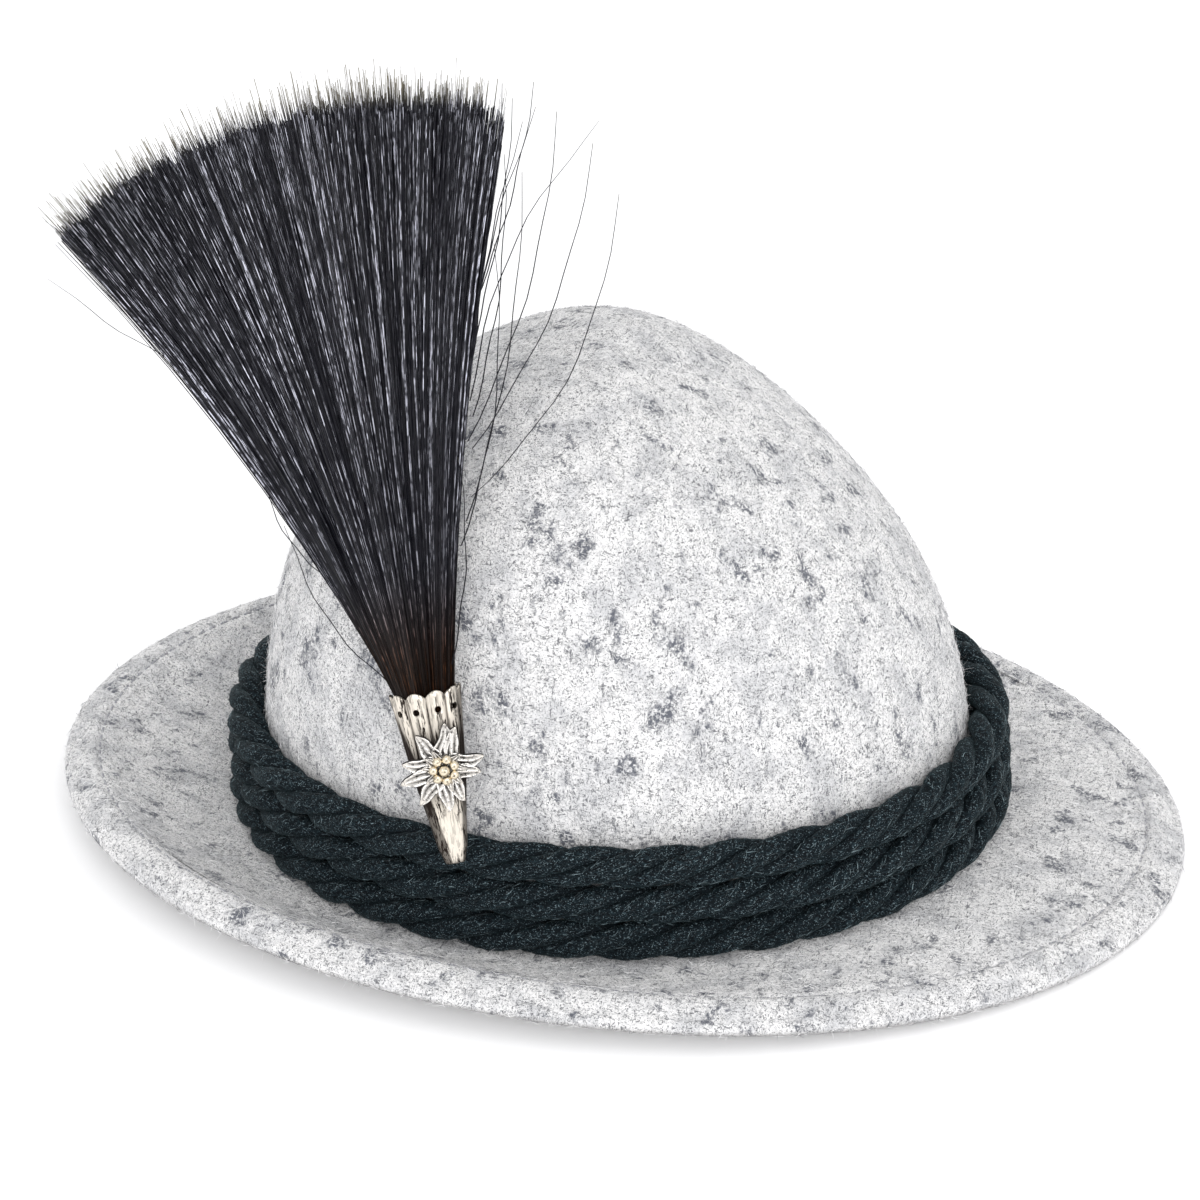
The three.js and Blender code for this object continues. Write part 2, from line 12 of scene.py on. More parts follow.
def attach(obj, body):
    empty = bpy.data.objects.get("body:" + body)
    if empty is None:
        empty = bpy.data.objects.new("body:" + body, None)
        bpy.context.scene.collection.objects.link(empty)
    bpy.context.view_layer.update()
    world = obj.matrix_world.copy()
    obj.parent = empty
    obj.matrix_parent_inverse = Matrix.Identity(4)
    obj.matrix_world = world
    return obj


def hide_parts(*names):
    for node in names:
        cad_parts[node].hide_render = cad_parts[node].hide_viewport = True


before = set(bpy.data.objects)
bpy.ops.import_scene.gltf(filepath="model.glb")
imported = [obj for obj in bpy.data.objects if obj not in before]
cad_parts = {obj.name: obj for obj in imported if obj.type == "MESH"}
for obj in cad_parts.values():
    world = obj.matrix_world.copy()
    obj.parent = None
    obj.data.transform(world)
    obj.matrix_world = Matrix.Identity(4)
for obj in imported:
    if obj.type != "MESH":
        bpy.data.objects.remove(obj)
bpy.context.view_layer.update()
print("nodes:", sorted(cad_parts))

# %% [markdown]
# The camera looks at the hat's right side from a little in front and
# above, as in the photograph. Its place was worked out from the ovals of
# the brim and the cords, and it leans by less than a degree.

# %% Camera
CAMERA_PLACE = Vector((0.2697, -0.9168, 0.5645))
CAMERA_AZIMUTH = math.radians(16.64)
CAMERA_HEIGHT = math.radians(27.62)
CAMERA_LEAN = math.radians(-0.84)
CAMERA_LENS = 118.18


def new_object(name, data):
    made = bpy.data.objects.new(name, data)
    bpy.context.collection.objects.link(made)
    return made


back = Vector((
    math.sin(CAMERA_AZIMUTH) * math.cos(CAMERA_HEIGHT),
    -math.cos(CAMERA_AZIMUTH) * math.cos(CAMERA_HEIGHT),
    math.sin(CAMERA_HEIGHT),
))
level = Vector((math.cos(CAMERA_AZIMUTH), math.sin(CAMERA_AZIMUTH), 0))
upright = back.cross(level)
right = level * math.cos(CAMERA_LEAN) + upright * math.sin(CAMERA_LEAN)
above = back.cross(right)
camera_data = bpy.data.cameras.new("camera")
camera_data.sensor_width = 36
camera_data.lens = CAMERA_LENS
camera_data.clip_start = 0.05
camera = new_object("camera", camera_data)
turn = Matrix((right, above, back)).transposed().to_4x4()
camera.matrix_world = Matrix.Translation(CAMERA_PLACE) @ turn
bpy.context.scene.camera = camera
print("camera looks down", round(math.degrees(CAMERA_HEIGHT), 1), "degrees")

# %% [markdown]
# Most pieces here are skins over rows of rings: the felt, each strand,
# the silver cone. One helper turns rings into points and faces, and one
# turns those into an object that rides on the hat. Small ones between
# them make unit vectors, a circle of angles, points and a turn.


# %% Mesh helpers
def ring_skin(rings, first=None, last=None, ringed=False):
    rings = np.asarray(rings, float)
    rows, count = rings.shape[:2]
    points = rings.reshape(-1, 3)
    here = np.arange(rows if ringed else rows - 1)[:, None] * count
    ahead = ((np.arange(rows if ringed else rows - 1) + 1) % rows)[:, None] * count
    step = np.arange(count)[None]
    after = (step + 1) % count
    corners = [here + step, ahead + step, ahead + after, here + after]
    faces = np.stack(corners, -1).reshape(-1, 4).tolist()
    if first is not None:
        points = np.vstack([points, first])
        faces += [[len(points) - 1, i, (i + 1) % count] for i in range(count)]
    if last is not None:
        points = np.vstack([points, last])
        base = (rows - 1) * count
        faces += [[len(points) - 1, base + (i + 1) % count, base + i] for i in range(count)]
    return points, faces


def unit(vectors):
    return vectors / np.linalg.norm(vectors, axis=-1, keepdims=True)


def circle(count):
    return np.arange(count) / count * 2 * np.pi


def xyz(x, y, z):
    return np.stack(np.broadcast_arrays(x, y, z), -1)


def rotate(first, second, angle):
    c, n = math.cos(angle), math.sin(angle)
    return first * c - second * n, first * n + second * c


def join_parts(parts):
    points, faces, start = [], [], 0
    for part_points, part_faces in parts:
        points.append(part_points)
        faces += [[index + start for index in face] for face in part_faces]
        start += len(part_points)
    return np.vstack(points), faces


def make_piece(name, points, faces, slot, material, stands_for=(), values=None):
    mesh = bpy.data.meshes.new(name)
    mesh.from_pydata((np.asarray(points) * 0.001).tolist(), [], faces)
    mesh.polygons.foreach_set("use_smooth", [True] * len(mesh.polygons))
    for label, numbers in (values or {}).items():
        layer = mesh.attributes.new(label, "FLOAT", "POINT")
        layer.data.foreach_set("value", np.asarray(numbers, np.float32))
    mesh.validate()
    mesh.update()
    mesh.materials.append(material)
    piece = new_object(name, mesh)
    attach(piece, "root")
    if stands_for:
        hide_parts(*stands_for)
    corners = sum(len(polygon.vertices) - 2 for polygon in mesh.polygons)
    print(name, "has", corners, "triangles")
    return piece


# %% [markdown]
# Shaders are built from small nodes. These helpers keep the later
# cells short: each adds one kind of node with its settings, or a group
# or material, and joins its sockets.


# %% Shader helpers
def feed(tree, socket, value):
    if isinstance(value, bpy.types.NodeSocket):
        tree.links.new(value, socket)
    else:
        socket.default_value = value


def add_node(tree, kind, **settings):
    node = tree.nodes.new("ShaderNode" + kind)
    inputs = settings.pop("inputs", {})
    for key, value in settings.items():
        setattr(node, key, value)
    for key, value in inputs.items():
        feed(tree, node.inputs[key], value)
    return node


def new_group(name, numbers, outputs):
    tree = bpy.data.node_groups.new(name, "ShaderNodeTree")
    for label, default in numbers.items():
        kind = "NodeSocketVector" if isinstance(default, tuple) else "NodeSocketFloat"
        socket = tree.interface.new_socket(label, in_out="INPUT", socket_type=kind)
        socket.default_value = default
    for label in outputs:
        tree.interface.new_socket(label, in_out="OUTPUT", socket_type="NodeSocketFloat")
    return tree, tree.nodes.new("NodeGroupInput").outputs, tree.nodes.new("NodeGroupOutput")


def use_group(tree, group, **inputs):
    node = tree.nodes.new("ShaderNodeGroup")
    node.node_tree = group
    for key, value in inputs.items():
        node.inputs[key].default_value = value
    return node


def new_material(name, **constants):
    material = bpy.data.materials.new(name)
    material.use_nodes = True
    tree = material.node_tree
    shader = tree.nodes["Principled BSDF"]
    for label, value in constants.items():
        shader.inputs[label.replace("_", " ")].default_value = value
    return material, tree, shader


def paint(tree, shader, colour):
    tree.links.new(colour, shader.inputs["Base Color"])


def mix_colour(tree, mask, low, high):
    node = add_node(tree, "Mix", data_type="RGBA", inputs={0: mask, 6: low, 7: high})
    return node.outputs[2]


def math_node(tree, operation, first, second, clamp=False):
    node = add_node(tree, "Math", operation=operation, use_clamp=clamp,
                    inputs={0: first, 1: second})
    return node.outputs[0]


def times(tree, first, second):
    return math_node(tree, "MULTIPLY", first, second)


def remap(tree, value, low, high, to_low=0.0, to_high=1.0, kind="LINEAR"):
    node = add_node(tree, "MapRange", interpolation_type=kind, inputs={
        "Value": value, "From Min": low, "From Max": high, "To Min": to_low, "To Max": to_high})
    return node.outputs["Result"]


def point_value(tree, label):
    return add_node(tree, "Attribute", attribute_name=label).outputs["Fac"]


def add_relief(tree, shader, height, strength, distance):
    bump = add_node(tree, "Bump", inputs={
        "Height": height, "Strength": strength, "Distance": distance})
    tree.links.new(bump.outputs[0], shader.inputs["Normal"])


# %% [markdown]
# Felt and wool yarn both show short fibres of mixed shades. The group
# below gives a mask of fibres: a noise that is stretched along a chosen
# direction, then cut between two levels. Felt and cords use it with
# their own grain, stretch and levels.

# %% Group for fibres
fibres, knobs, group_out = new_group(
    "fibre mottle",
    {"Grain": 900.0, "Stretch": (1.0, 1.0, 1.0), "Turn": (0.0, 0.0, 0.0),
     "Low": 0.45, "High": 0.6, "Detail": 3.0, "Curl": 0.0},
    ["Mask"],
)
place = add_node(fibres, "TexCoord")
spin = add_node(fibres, "Mapping", vector_type="POINT", inputs={
    "Vector": place.outputs["Object"], "Rotation": knobs["Turn"], "Scale": knobs["Stretch"]})
noise = add_node(fibres, "TexNoise", inputs={
    "Vector": spin.outputs[0], "Scale": knobs["Grain"],
    "Detail": knobs["Detail"], "Roughness": 0.6, "Distortion": knobs["Curl"]})
levels = remap(fibres, noise.outputs["Fac"], knobs["Low"], knobs["High"], kind="SMOOTHSTEP")
fibres.links.new(levels, group_out.inputs["Mask"])
print("group:", fibres.name)

# %% [markdown]
# Old silver is dark where polish can't reach and bright on its ridges.
# The group mixes long scratches with soft clouds into one mask of how
# tarnished the metal is. The cone uses long streaks, the flower short.

# %% Group for tarnish
tarnish, knobs, group_out = new_group(
    "tarnish",
    {"Grain": 500.0, "Streak": (1.0, 1.0, 0.1), "Turn": (0.0, 0.0, 0.0), "Low": 0.42, "High": 0.62},
    ["Mask", "Relief"],
)
place = add_node(tarnish, "TexCoord")
spin = add_node(tarnish, "Mapping", vector_type="TEXTURE", inputs={
    "Vector": place.outputs["Object"], "Rotation": knobs["Turn"]})
drawn = add_node(tarnish, "VectorMath", operation="MULTIPLY", inputs={
    0: spin.outputs[0], 1: knobs["Streak"]})
noise = add_node(tarnish, "TexNoise", inputs={
    "Vector": drawn.outputs[0], "Scale": knobs["Grain"],
    "Detail": 4.0, "Roughness": 0.65, "Distortion": 0.4})
levels = remap(tarnish, noise.outputs["Fac"], knobs["Low"], knobs["High"], kind="SMOOTHSTEP")
tarnish.links.new(levels, group_out.inputs["Mask"])
tarnish.links.new(noise.outputs["Fac"], group_out.inputs["Relief"])
print("group:", tarnish.name)

# %% [markdown]
# The felt is wool of several greys pressed into one cloth. White wool
# makes the ground, a fine dark speckle runs through it, and here and
# there a lock of dark wool lies as a ragged blue-grey fleck. Layers of
# the fibre group make each of these in turn. What faces down gets a
# painted shade, a darker colour that stands for the shadow under the brim.

# %% Felt
WHITE_WOOL, GREY_WOOL = (1.0, 0.99, 0.99, 1), (0.74, 0.74, 0.755, 1)
SPECKLE_WOOL, CURL_WOOL = (0.34, 0.345, 0.37, 1), (0.11, 0.115, 0.13, 1)
FLECK_WOOL, UNDERSIDE_PAINTED_SHADE = (0.12, 0.13, 0.16, 1), (0.13, 0.12, 0.112, 1)
SPECKLE_SHARE, CURL_SHARE, FLECK_SHARE, UNDERSIDE_SHADE_SHARE = 0.28, 0.85, 0.95, 0.62
CURLS = (
    dict(Grain=1450.0, Stretch=(1.0, 1.0, 0.32), Turn=(0.5, 0.75, 0.2), Low=0.595, High=0.645),
    dict(Grain=1450.0, Stretch=(0.32, 1.0, 1.0), Turn=(0.3, -0.6, 1.0), Low=0.6, High=0.65),
    dict(Grain=1300.0, Stretch=(1.0, 0.32, 1.0), Turn=(1.0, 0.3, -0.7), Low=0.6, High=0.65),
)
felt, tree, shader = new_material(
    "marled felt", Roughness=0.95, Specular_IOR_Level=0.15, Sheen_Weight=0.2, Sheen_Roughness=0.5)
clouds = use_group(tree, fibres, Grain=95.0, Stretch=(1.0, 1.0, 0.7), Turn=(0.0, 0.6, 0.0),
                   Low=0.42, High=0.66, Detail=4.0)
colour = mix_colour(tree, clouds.outputs[0], WHITE_WOOL, GREY_WOOL)
speckle = use_group(tree, fibres, Grain=1500.0, Low=0.48, High=0.6)
colour = mix_colour(tree, times(tree, speckle.outputs[0], SPECKLE_SHARE), colour, SPECKLE_WOOL)
upright, level, slant = (use_group(tree, fibres, Detail=2.0, Curl=1.8, **curl).outputs[0]
                         for curl in CURLS)
curls = math_node(tree, "MAXIMUM", math_node(tree, "MAXIMUM", upright, level), slant)
curls = times(tree, curls, CURL_SHARE)
colour = mix_colour(tree, curls, colour, CURL_WOOL)
flecks = use_group(tree, fibres, Grain=140.0, Stretch=(1.0, 1.0, 0.6), Turn=(0.0, 0.75, 0.0),
                   Low=0.55, High=0.655, Detail=5.0)
ragged = use_group(tree, fibres, Grain=1000.0, Low=0.38, High=0.54)
spots = times(tree, flecks.outputs[0], ragged.outputs[0])
colour = mix_colour(tree, times(tree, spots, FLECK_SHARE), colour, FLECK_WOOL)
# Painted shade: surfaces whose normal points down are mixed towards a dark grey.
facing = add_node(tree, "NewGeometry")
facing = add_node(tree, "SeparateXYZ", inputs={"Vector": facing.outputs["Normal"]})
painted_shade_below = remap(tree, facing.outputs["Z"], 0.1, -0.7, to_high=UNDERSIDE_SHADE_SHARE)
paint(tree, shader, mix_colour(tree, painted_shade_below, colour, UNDERSIDE_PAINTED_SHADE))
nap = use_group(tree, fibres, Grain=1500.0, Low=0.3, High=0.7, Detail=2.0)
add_relief(tree, shader, math_node(tree, "SUBTRACT", nap.outputs[0], curls), 0.7, 0.0004)
print("felt has", len(tree.nodes), "nodes")

# %% [markdown]
# The hat is made level, then tips back a little and settles, as felt
# does on a table: it touches with the front hem and the back of the
# brim's foot. The sizes are those of the model, in millimetres.

# %% Sizes of the felt
HEAD = np.array([194.0, 161.0])
FELT_THICK = 2.6
FOOT = HEAD / 2 + FELT_THICK
CROWN_HEIGHT = 136.8
FRONT_TAPER, BACK_TAPER, SIDE_FULLNESS = 1.7, 0.98, 0.53
SHOULDER = 0.78
TOP_FORWARD = 2.1
BRIM_OUT = np.array([317.0, 244.0]) / 2 - FOOT
RISE_BACK, RISE_SIDE, DIP_FRONT = 12.2, 4.5, 7.9
FLAT, BEND, FOOT_ROUND = 8.0, 1.6, 3.0
HEM, HEM_THICK = 10.5, 4.8
DROP_BACK, DROP_FRONT, CURL = 2.5, 4.5, 1.7
print("foot of the crown:", FOOT * 2, "mm")


# %% Shape of the crown and brim
def crown_point(turn, around, inset):
    forward = 0.5 + 0.5 * np.cos(around)
    taper = BACK_TAPER + (FRONT_TAPER - BACK_TAPER) * forward - SIDE_FULLNESS * np.sin(around) ** 2
    spread = np.cos(turn * np.pi / 2) ** taper
    lift = np.sin(turn * np.pi / 2) ** SHOULDER
    return xyz(
        (FOOT[0] - inset) * spread * np.cos(around) + TOP_FORWARD * lift,
        (FOOT[1] - inset) * spread * np.sin(around),
        (CROWN_HEIGHT - inset) * lift,
    )


def turn_at(height):
    return np.arcsin((height / CROWN_HEIGHT) ** (1 / SHOULDER)) / (np.pi / 2)


def reach(around):
    return np.hypot(BRIM_OUT[0] * np.cos(around), BRIM_OUT[1] * np.sin(around))


def brim_point(out, height, around):
    wide = reach(around)
    blend = np.maximum(0, out / wide) ** 2
    out_x = out * (1 + (BRIM_OUT[0] / wide - 1) * blend)
    out_y = out * (1 + (BRIM_OUT[1] / wide - 1) * blend)
    x, y = (FOOT[0] + out_x) * np.cos(around), (FOOT[1] + out_y) * np.sin(around)
    return xyz(x, y, height)


def rim_rise(around):
    ahead = np.cos(around)
    mean, swing = (RISE_BACK - DIP_FRONT) / 2, (RISE_BACK + DIP_FRONT) / 2
    return RISE_SIDE * (1 - ahead**2) + mean * ahead**2 - swing * ahead


def hem_drop(around):
    return DROP_BACK + (DROP_FRONT - DROP_BACK) * (0.5 + 0.5 * np.cos(around))


def brim_top(out, around):
    seam = reach(around) - HEM
    crest = rim_rise(around) + hem_drop(around)
    rise = crest * (np.clip((out - FLAT) / (seam - FLAT), 0, 1)) ** BEND
    fall = hem_drop(around) * np.clip((out - seam) / HEM, 0, 2) ** CURL
    return rise - fall


# %% [markdown]
# The tilt and the drop come from the two places that touch the table,
# so the dressed felt settles just as the model does.

# %% Settle on the table
edge_low = reach(np.zeros(1))[0] - HEM_THICK / 2
front_under = np.array([FOOT[0] + edge_low, brim_top(edge_low, np.zeros(1))[0] - HEM_THICK])
back_under = np.array([-(FOOT[0] + FLAT), -FELT_THICK])
FRONT_PRESS, BACK_PRESS = 1.0, 0.5
step_down = back_under[1] + BACK_PRESS - front_under[1] - FRONT_PRESS
TILT = math.atan2(step_down, front_under[0] - back_under[0])
DROP = back_under[0] * math.sin(TILT) + back_under[1] * math.cos(TILT) + BACK_PRESS


def settle(points, press=False):
    points = np.asarray(points, float)
    x, y, z = np.moveaxis(points, -1, 0)
    x, z = rotate(x, z, TILT)
    settled = xyz(x, y, z - DROP)
    if press:
        settled[..., 2] = np.maximum(settled[..., 2], 0)
    return settled


print("tilt", round(math.degrees(TILT), 2), "degrees, drop", round(DROP, 2), "mm")

# %% [markdown]
# Blocked felt is never quite even. A few long waves, the same on both
# faces, move the cloth by up to half a millimetre. The hem is folded
# under and sewn, so it swells a little beyond a narrow groove. Rings
# from the tip, over the brim and back up inside, give one closed skin.

# %% Felt body
AROUND = circle(280)
WAVE_CENTRE, WAVE_DEPTH = np.array([0, 0, 20.0]), 0.22
SWELL, GROOVE, GROOVE_HALF_WIDE = 0.75, 0.6, 0.8


def felt_waves(points):
    x, y, z = np.moveaxis(points, -1, 0)
    waves = (np.sin(x / 23 + 1.3) * np.sin(y / 19 + z / 27)
             + 0.7 * np.sin(x / 13 - z / 17 + 2.1) * np.cos(y / 15 + 0.4)
             + 0.5 * np.sin(z / 9 + x / 31) * np.cos(y / 11 - 1.2))
    return points + unit(points - WAVE_CENTRE) * (WAVE_DEPTH * waves)[..., None]


def seam_ring(beyond, thick):
    out = reach(AROUND) - HEM + beyond
    height = brim_top(out, AROUND)
    swell = SWELL * np.sin(np.pi * np.clip(beyond / (HEM - 1), 0, 1))
    groove = GROOVE * np.exp(-((beyond / GROOVE_HALF_WIDE) ** 2)) if thick == 0 else 0
    return brim_point(out, height + (swell if thick == 0 else -swell) - groove - thick, AROUND)


def foot_ring(radius, quarter):
    angle = quarter * np.pi / 2
    out, height = FOOT_ROUND - radius * np.cos(angle), FOOT_ROUND - radius * np.sin(angle)
    return brim_point(out, height, AROUND)


def flat_ring(share, thick):
    out = FLAT + share * (reach(AROUND) - HEM - FLAT)
    return felt_waves(brim_point(out, brim_top(out, AROUND) - thick, AROUND))


def edge_ring(quarter):
    half, angle = HEM_THICK / 2, quarter * np.pi / 2
    middle = reach(AROUND) - half
    height = brim_top(middle, AROUND) - half + half * np.sin(angle)
    return brim_point(middle + half * np.cos(angle), height, AROUND)


ABOVE_SEAM = (-2.2, -1.5, -1.0, -0.6, -0.3, 0.0, 0.3, 0.6, 1.0, 1.6, 2.6, 3.8, 5.0, 6.2, 7.2)
UNDER_SEAM = (7.0, 5.2, 3.4, 1.8, 0.7)
rings = [felt_waves(crown_point(turn, AROUND, 0)) for turn in np.linspace(0.985, 0.05, 62)]
rings += [foot_ring(FOOT_ROUND, quarter) for quarter in np.linspace(0, 1, 6)]
rings += [flat_ring(share, 0) for share in np.linspace(0.04, 0.93, 16)]
rings += [seam_ring(beyond, 0) for beyond in ABOVE_SEAM]
rings += [edge_ring(quarter) for quarter in np.linspace(1, -1, 9)]
OUTER_ROWS = len(rings) + 3
rings += [seam_ring(beyond, HEM_THICK) for beyond in UNDER_SEAM]
rings += [flat_ring(share, FELT_THICK) for share in np.linspace(1.0, 0.04, 14)]
rings += [foot_ring(FOOT_ROUND + FELT_THICK, quarter) for quarter in np.linspace(1, 0, 6)]
rings += [felt_waves(crown_point(turn, AROUND, FELT_THICK))
          for turn in np.linspace(0.05, 0.985, 24)]
tips = np.array([[TOP_FORWARD, 0, CROWN_HEIGHT], [TOP_FORWARD, 0, CROWN_HEIGHT - FELT_THICK]])
tips = felt_waves(tips)
points, faces = ring_skin(rings, tips[:1], tips[1:])
make_piece("hat_felt", settle(points, press=True), faces, "felt", felt, ["hat_body"])

# %% [markdown]
# The hem is sewn down with a thread of the felt's own grey. Each stitch
# is a short rounded bar that lies in the groove and dips at its ends.
# One loop lays all of them round the brim and joins them in one mesh.

# %% Hem stitches
thread, tree, shader = new_material("hem thread", Roughness=0.7)
twist = use_group(tree, fibres, Grain=2600.0, Low=0.4, High=0.6)
shade = mix_colour(tree, twist.outputs[0], (0.5, 0.505, 0.53, 1), (0.24, 0.245, 0.27, 1))
paint(tree, shader, shade)
STITCHES, STITCH_RADIUS, STITCH_DEPTH = 180, 0.34, 0.55
dip = np.array([0.55, 0.12, 0, 0, 0.12, 0.55])
parts = []
for number in range(STITCHES):
    start, end = (number + 0.12) / STITCHES, (number + 0.88) / STITCHES
    shares = np.linspace(start, end, 6) * 2 * np.pi
    seam = reach(shares) - HEM
    centre = brim_point(seam, brim_top(seam, shares) - STITCH_DEPTH - dip, shares)
    along = unit(np.gradient(centre, axis=0))
    side = unit(np.cross(along, [0, 0, 1.0]))
    high = np.cross(side, along)
    turns = -circle(6)[None, :, None]
    section = side[:, None] * np.cos(turns) + high[:, None] * np.sin(turns)
    parts.append(ring_skin(centre[:, None] + STITCH_RADIUS * section, centre[:1], centre[-1:]))
points, faces = join_parts(parts)
make_piece("hem_stitches", settle(points), faces, "felt", thread)

# %% [markdown]
# Up close felt has a fine nap: loose wool ends that stand off the cloth
# and soften its outline. Tens of thousands of short tapered fibres are
# laid on the outside by area, and each keeps one shade of wool.

# %% Nap of the felt
nap_wool, tree, shader = new_material("loose wool", Roughness=0.8)
colour = add_node(tree, "ValToRGB", inputs={"Fac": point_value(tree, "shade")})
dark_end, light_end = colour.color_ramp.elements
dark_end.color = (0.07, 0.073, 0.085, 1)
light_end.color, light_end.position = (0.96, 0.955, 0.96, 1), 0.5
paint(tree, shader, colour.outputs[0])


def lay_fibres(points, faces, keep, count, length, width, lift, random, combed=None):
    quads = np.array([face for face in faces if len(face) == 4])
    quads = quads[keep(points[quads].mean(1))]
    a, b, c, d = (points[quads[:, k]] for k in range(4))
    normal = np.cross(c - a, d - b)
    size = np.linalg.norm(normal, axis=1)
    pick = random.choice(len(quads), count, p=size / size.sum())
    u, v = random.random((2, count, 1))
    spot = (a[pick] * (1 - u) + b[pick] * u) * (1 - v) + (d[pick] * (1 - u) + c[pick] * u) * v
    up = normal[pick] / size[pick][:, None]
    lie = np.cross(up, random.normal(size=(count, 3)))
    if combed is not None:
        lie = unit((b - a)[pick]) + lie * combed
    lie = unit(lie)
    across = np.cross(lie, up)
    long = length * random.uniform(0.5, 1.3, (count, 1))
    rise = lift * random.random((count, 1)) ** 2
    bow = random.normal(0, 0.25, (count, 1)) * long
    mid = spot + lie * long * 0.5 + up * long * rise * 0.75 + across * bow * 0.5
    end = spot + lie * long * 0.95 + up * long * rise * 1.1 + across * bow * 1.3
    wide = width * random.uniform(0.7, 1.3, (count, 1))
    flat = across * 0.7 + up * 0.7 * random.choice([-1, 1], (count, 1))
    thin = flat * wide * 0.8
    rows = np.stack([spot - flat * wide, spot + flat * wide, mid - thin, mid + thin, end], 1)
    base = np.arange(count)[:, None] * 5
    body = base + np.array([[0, 1, 3, 2]])
    point = base + np.array([[2, 3, 4]])
    return rows.reshape(-1, 3), body.tolist() + point.tolist()


def outside(middles):
    level = np.hypot(middles[:, 0] / INSIDE_OVAL[0], middles[:, 1] / INSIDE_OVAL[1])
    inner = (level < INSIDE_SHARE) & (middles[:, 2] < INSIDE_HIGH)
    return ~inner & (middles[:, 2] > 0.5)


INSIDE_OVAL, INSIDE_SHARE, INSIDE_HIGH = (99, 82), 0.93, 40
NAP_FIBRES, FUZZ_FIBRES, DARK_SHARE = 45000, 13000, 0.28
NAP_SHAPE, FUZZ_SHAPE = (2.4, 0.08, 0.34), (1.9, 0.03, 1.5)
chance = np.random.default_rng(7)
outer_points, outer_faces = ring_skin(rings[:OUTER_ROWS])
outer_points = settle(outer_points, press=True)
points, faces = lay_fibres(outer_points, outer_faces, outside, NAP_FIBRES, *NAP_SHAPE, chance)
shades = np.where(chance.random(NAP_FIBRES) < DARK_SHARE,
                  chance.uniform(0.0, 0.25, NAP_FIBRES), chance.uniform(0.4, 0.6, NAP_FIBRES))
points[:, 2] = np.maximum(points[:, 2], 0)
make_piece("felt_nap", points, faces, "felt", nap_wool, values={"shade": shades.repeat(5)})
points, faces = lay_fibres(outer_points, outer_faces, outside, FUZZ_FIBRES, *FUZZ_SHAPE, chance)
points[:, 2] = np.maximum(points[:, 2], 0)
shades = chance.uniform(0.25, 0.55, FUZZ_FIBRES)
make_piece("felt_fuzz", points, faces, "felt", nap_wool, values={"shade": shades.repeat(5)})

# %% [markdown]
# Each cord is three strands of wool yarn laid together. A bundle of
# yarns shows as fine parallel lines that wind round each strand. The
# strand is a real tube on a helix, its yarns are ridges in the tube,
# and the fibre group gives the glints of teal in the near black wool.

# %% Wool of the cords
WOOL_DARK, WOOL_LIGHT = (0.002, 0.0036, 0.0052, 1), (0.015, 0.028, 0.035, 1)
WOOL_PATCH, WOOL_GLINT = (0.004, 0.009, 0.012, 1), (0.4, 0.54, 0.6, 1)
PAINTED_VALLEY_SHADE = (0.002, 0.004, 0.006, 1)
wool, tree, shader = new_material(
    "dark teal wool", Roughness=0.72, Specular_IOR_Level=0.1,
    Sheen_Weight=0.04, Sheen_Roughness=0.35, Sheen_Tint=(0.5, 0.85, 0.9, 1))
hairline = use_group(tree, fibres, Grain=2600.0, Stretch=(0.3, 0.3, 1.0),
                     Low=0.44, High=0.62, Detail=2.0)
glint = use_group(tree, fibres, Grain=3800.0, Stretch=(0.6, 0.6, 1.0),
                  Low=0.63, High=0.67, Detail=1.0, Curl=0.5)
patch = use_group(tree, fibres, Grain=260.0, Low=0.38, High=0.62)
colour = mix_colour(tree, hairline.outputs[0], WOOL_DARK, WOOL_LIGHT)
colour = mix_colour(tree, times(tree, patch.outputs[0], 0.5), colour, WOOL_PATCH)
colour = mix_colour(tree, times(tree, glint.outputs[0], 0.5), colour, WOOL_GLINT)
# Painted shade: the yarn value mixes the valleys between strands towards near black.
shadow = mix_colour(tree, point_value(tree, "yarn"), PAINTED_VALLEY_SHADE, colour)
paint(tree, shader, mix_colour(tree, 0.85, colour, shadow))
add_relief(tree, shader, hairline.outputs[0], 0.45, 0.0002)
print("wool has", len(tree.nodes), "nodes")

# %% [markdown]
# The three cords lie one above the other round the foot of the crown,
# pressed together. Each strand makes twelve turns on its way round.

# %% Cords
CORD_RADIUS, CORD_GAP, TWISTS = 5.2, 0.35, 12
STRAND_OFFSET, STRAND_RADIUS = 2.75, 2.95
STEPS, SIDES, YARNS, YARN_TURNS, FLATTER = 480, 20, 5, 22, 0.93


def cord_path(row, around):
    height = CORD_RADIUS + CORD_GAP + row * (CORD_RADIUS * 2 + CORD_GAP)
    out = xyz(np.cos(around), np.sin(around), 0)
    return crown_point(turn_at(height), around, 0) + out * (CORD_RADIUS + CORD_GAP), out


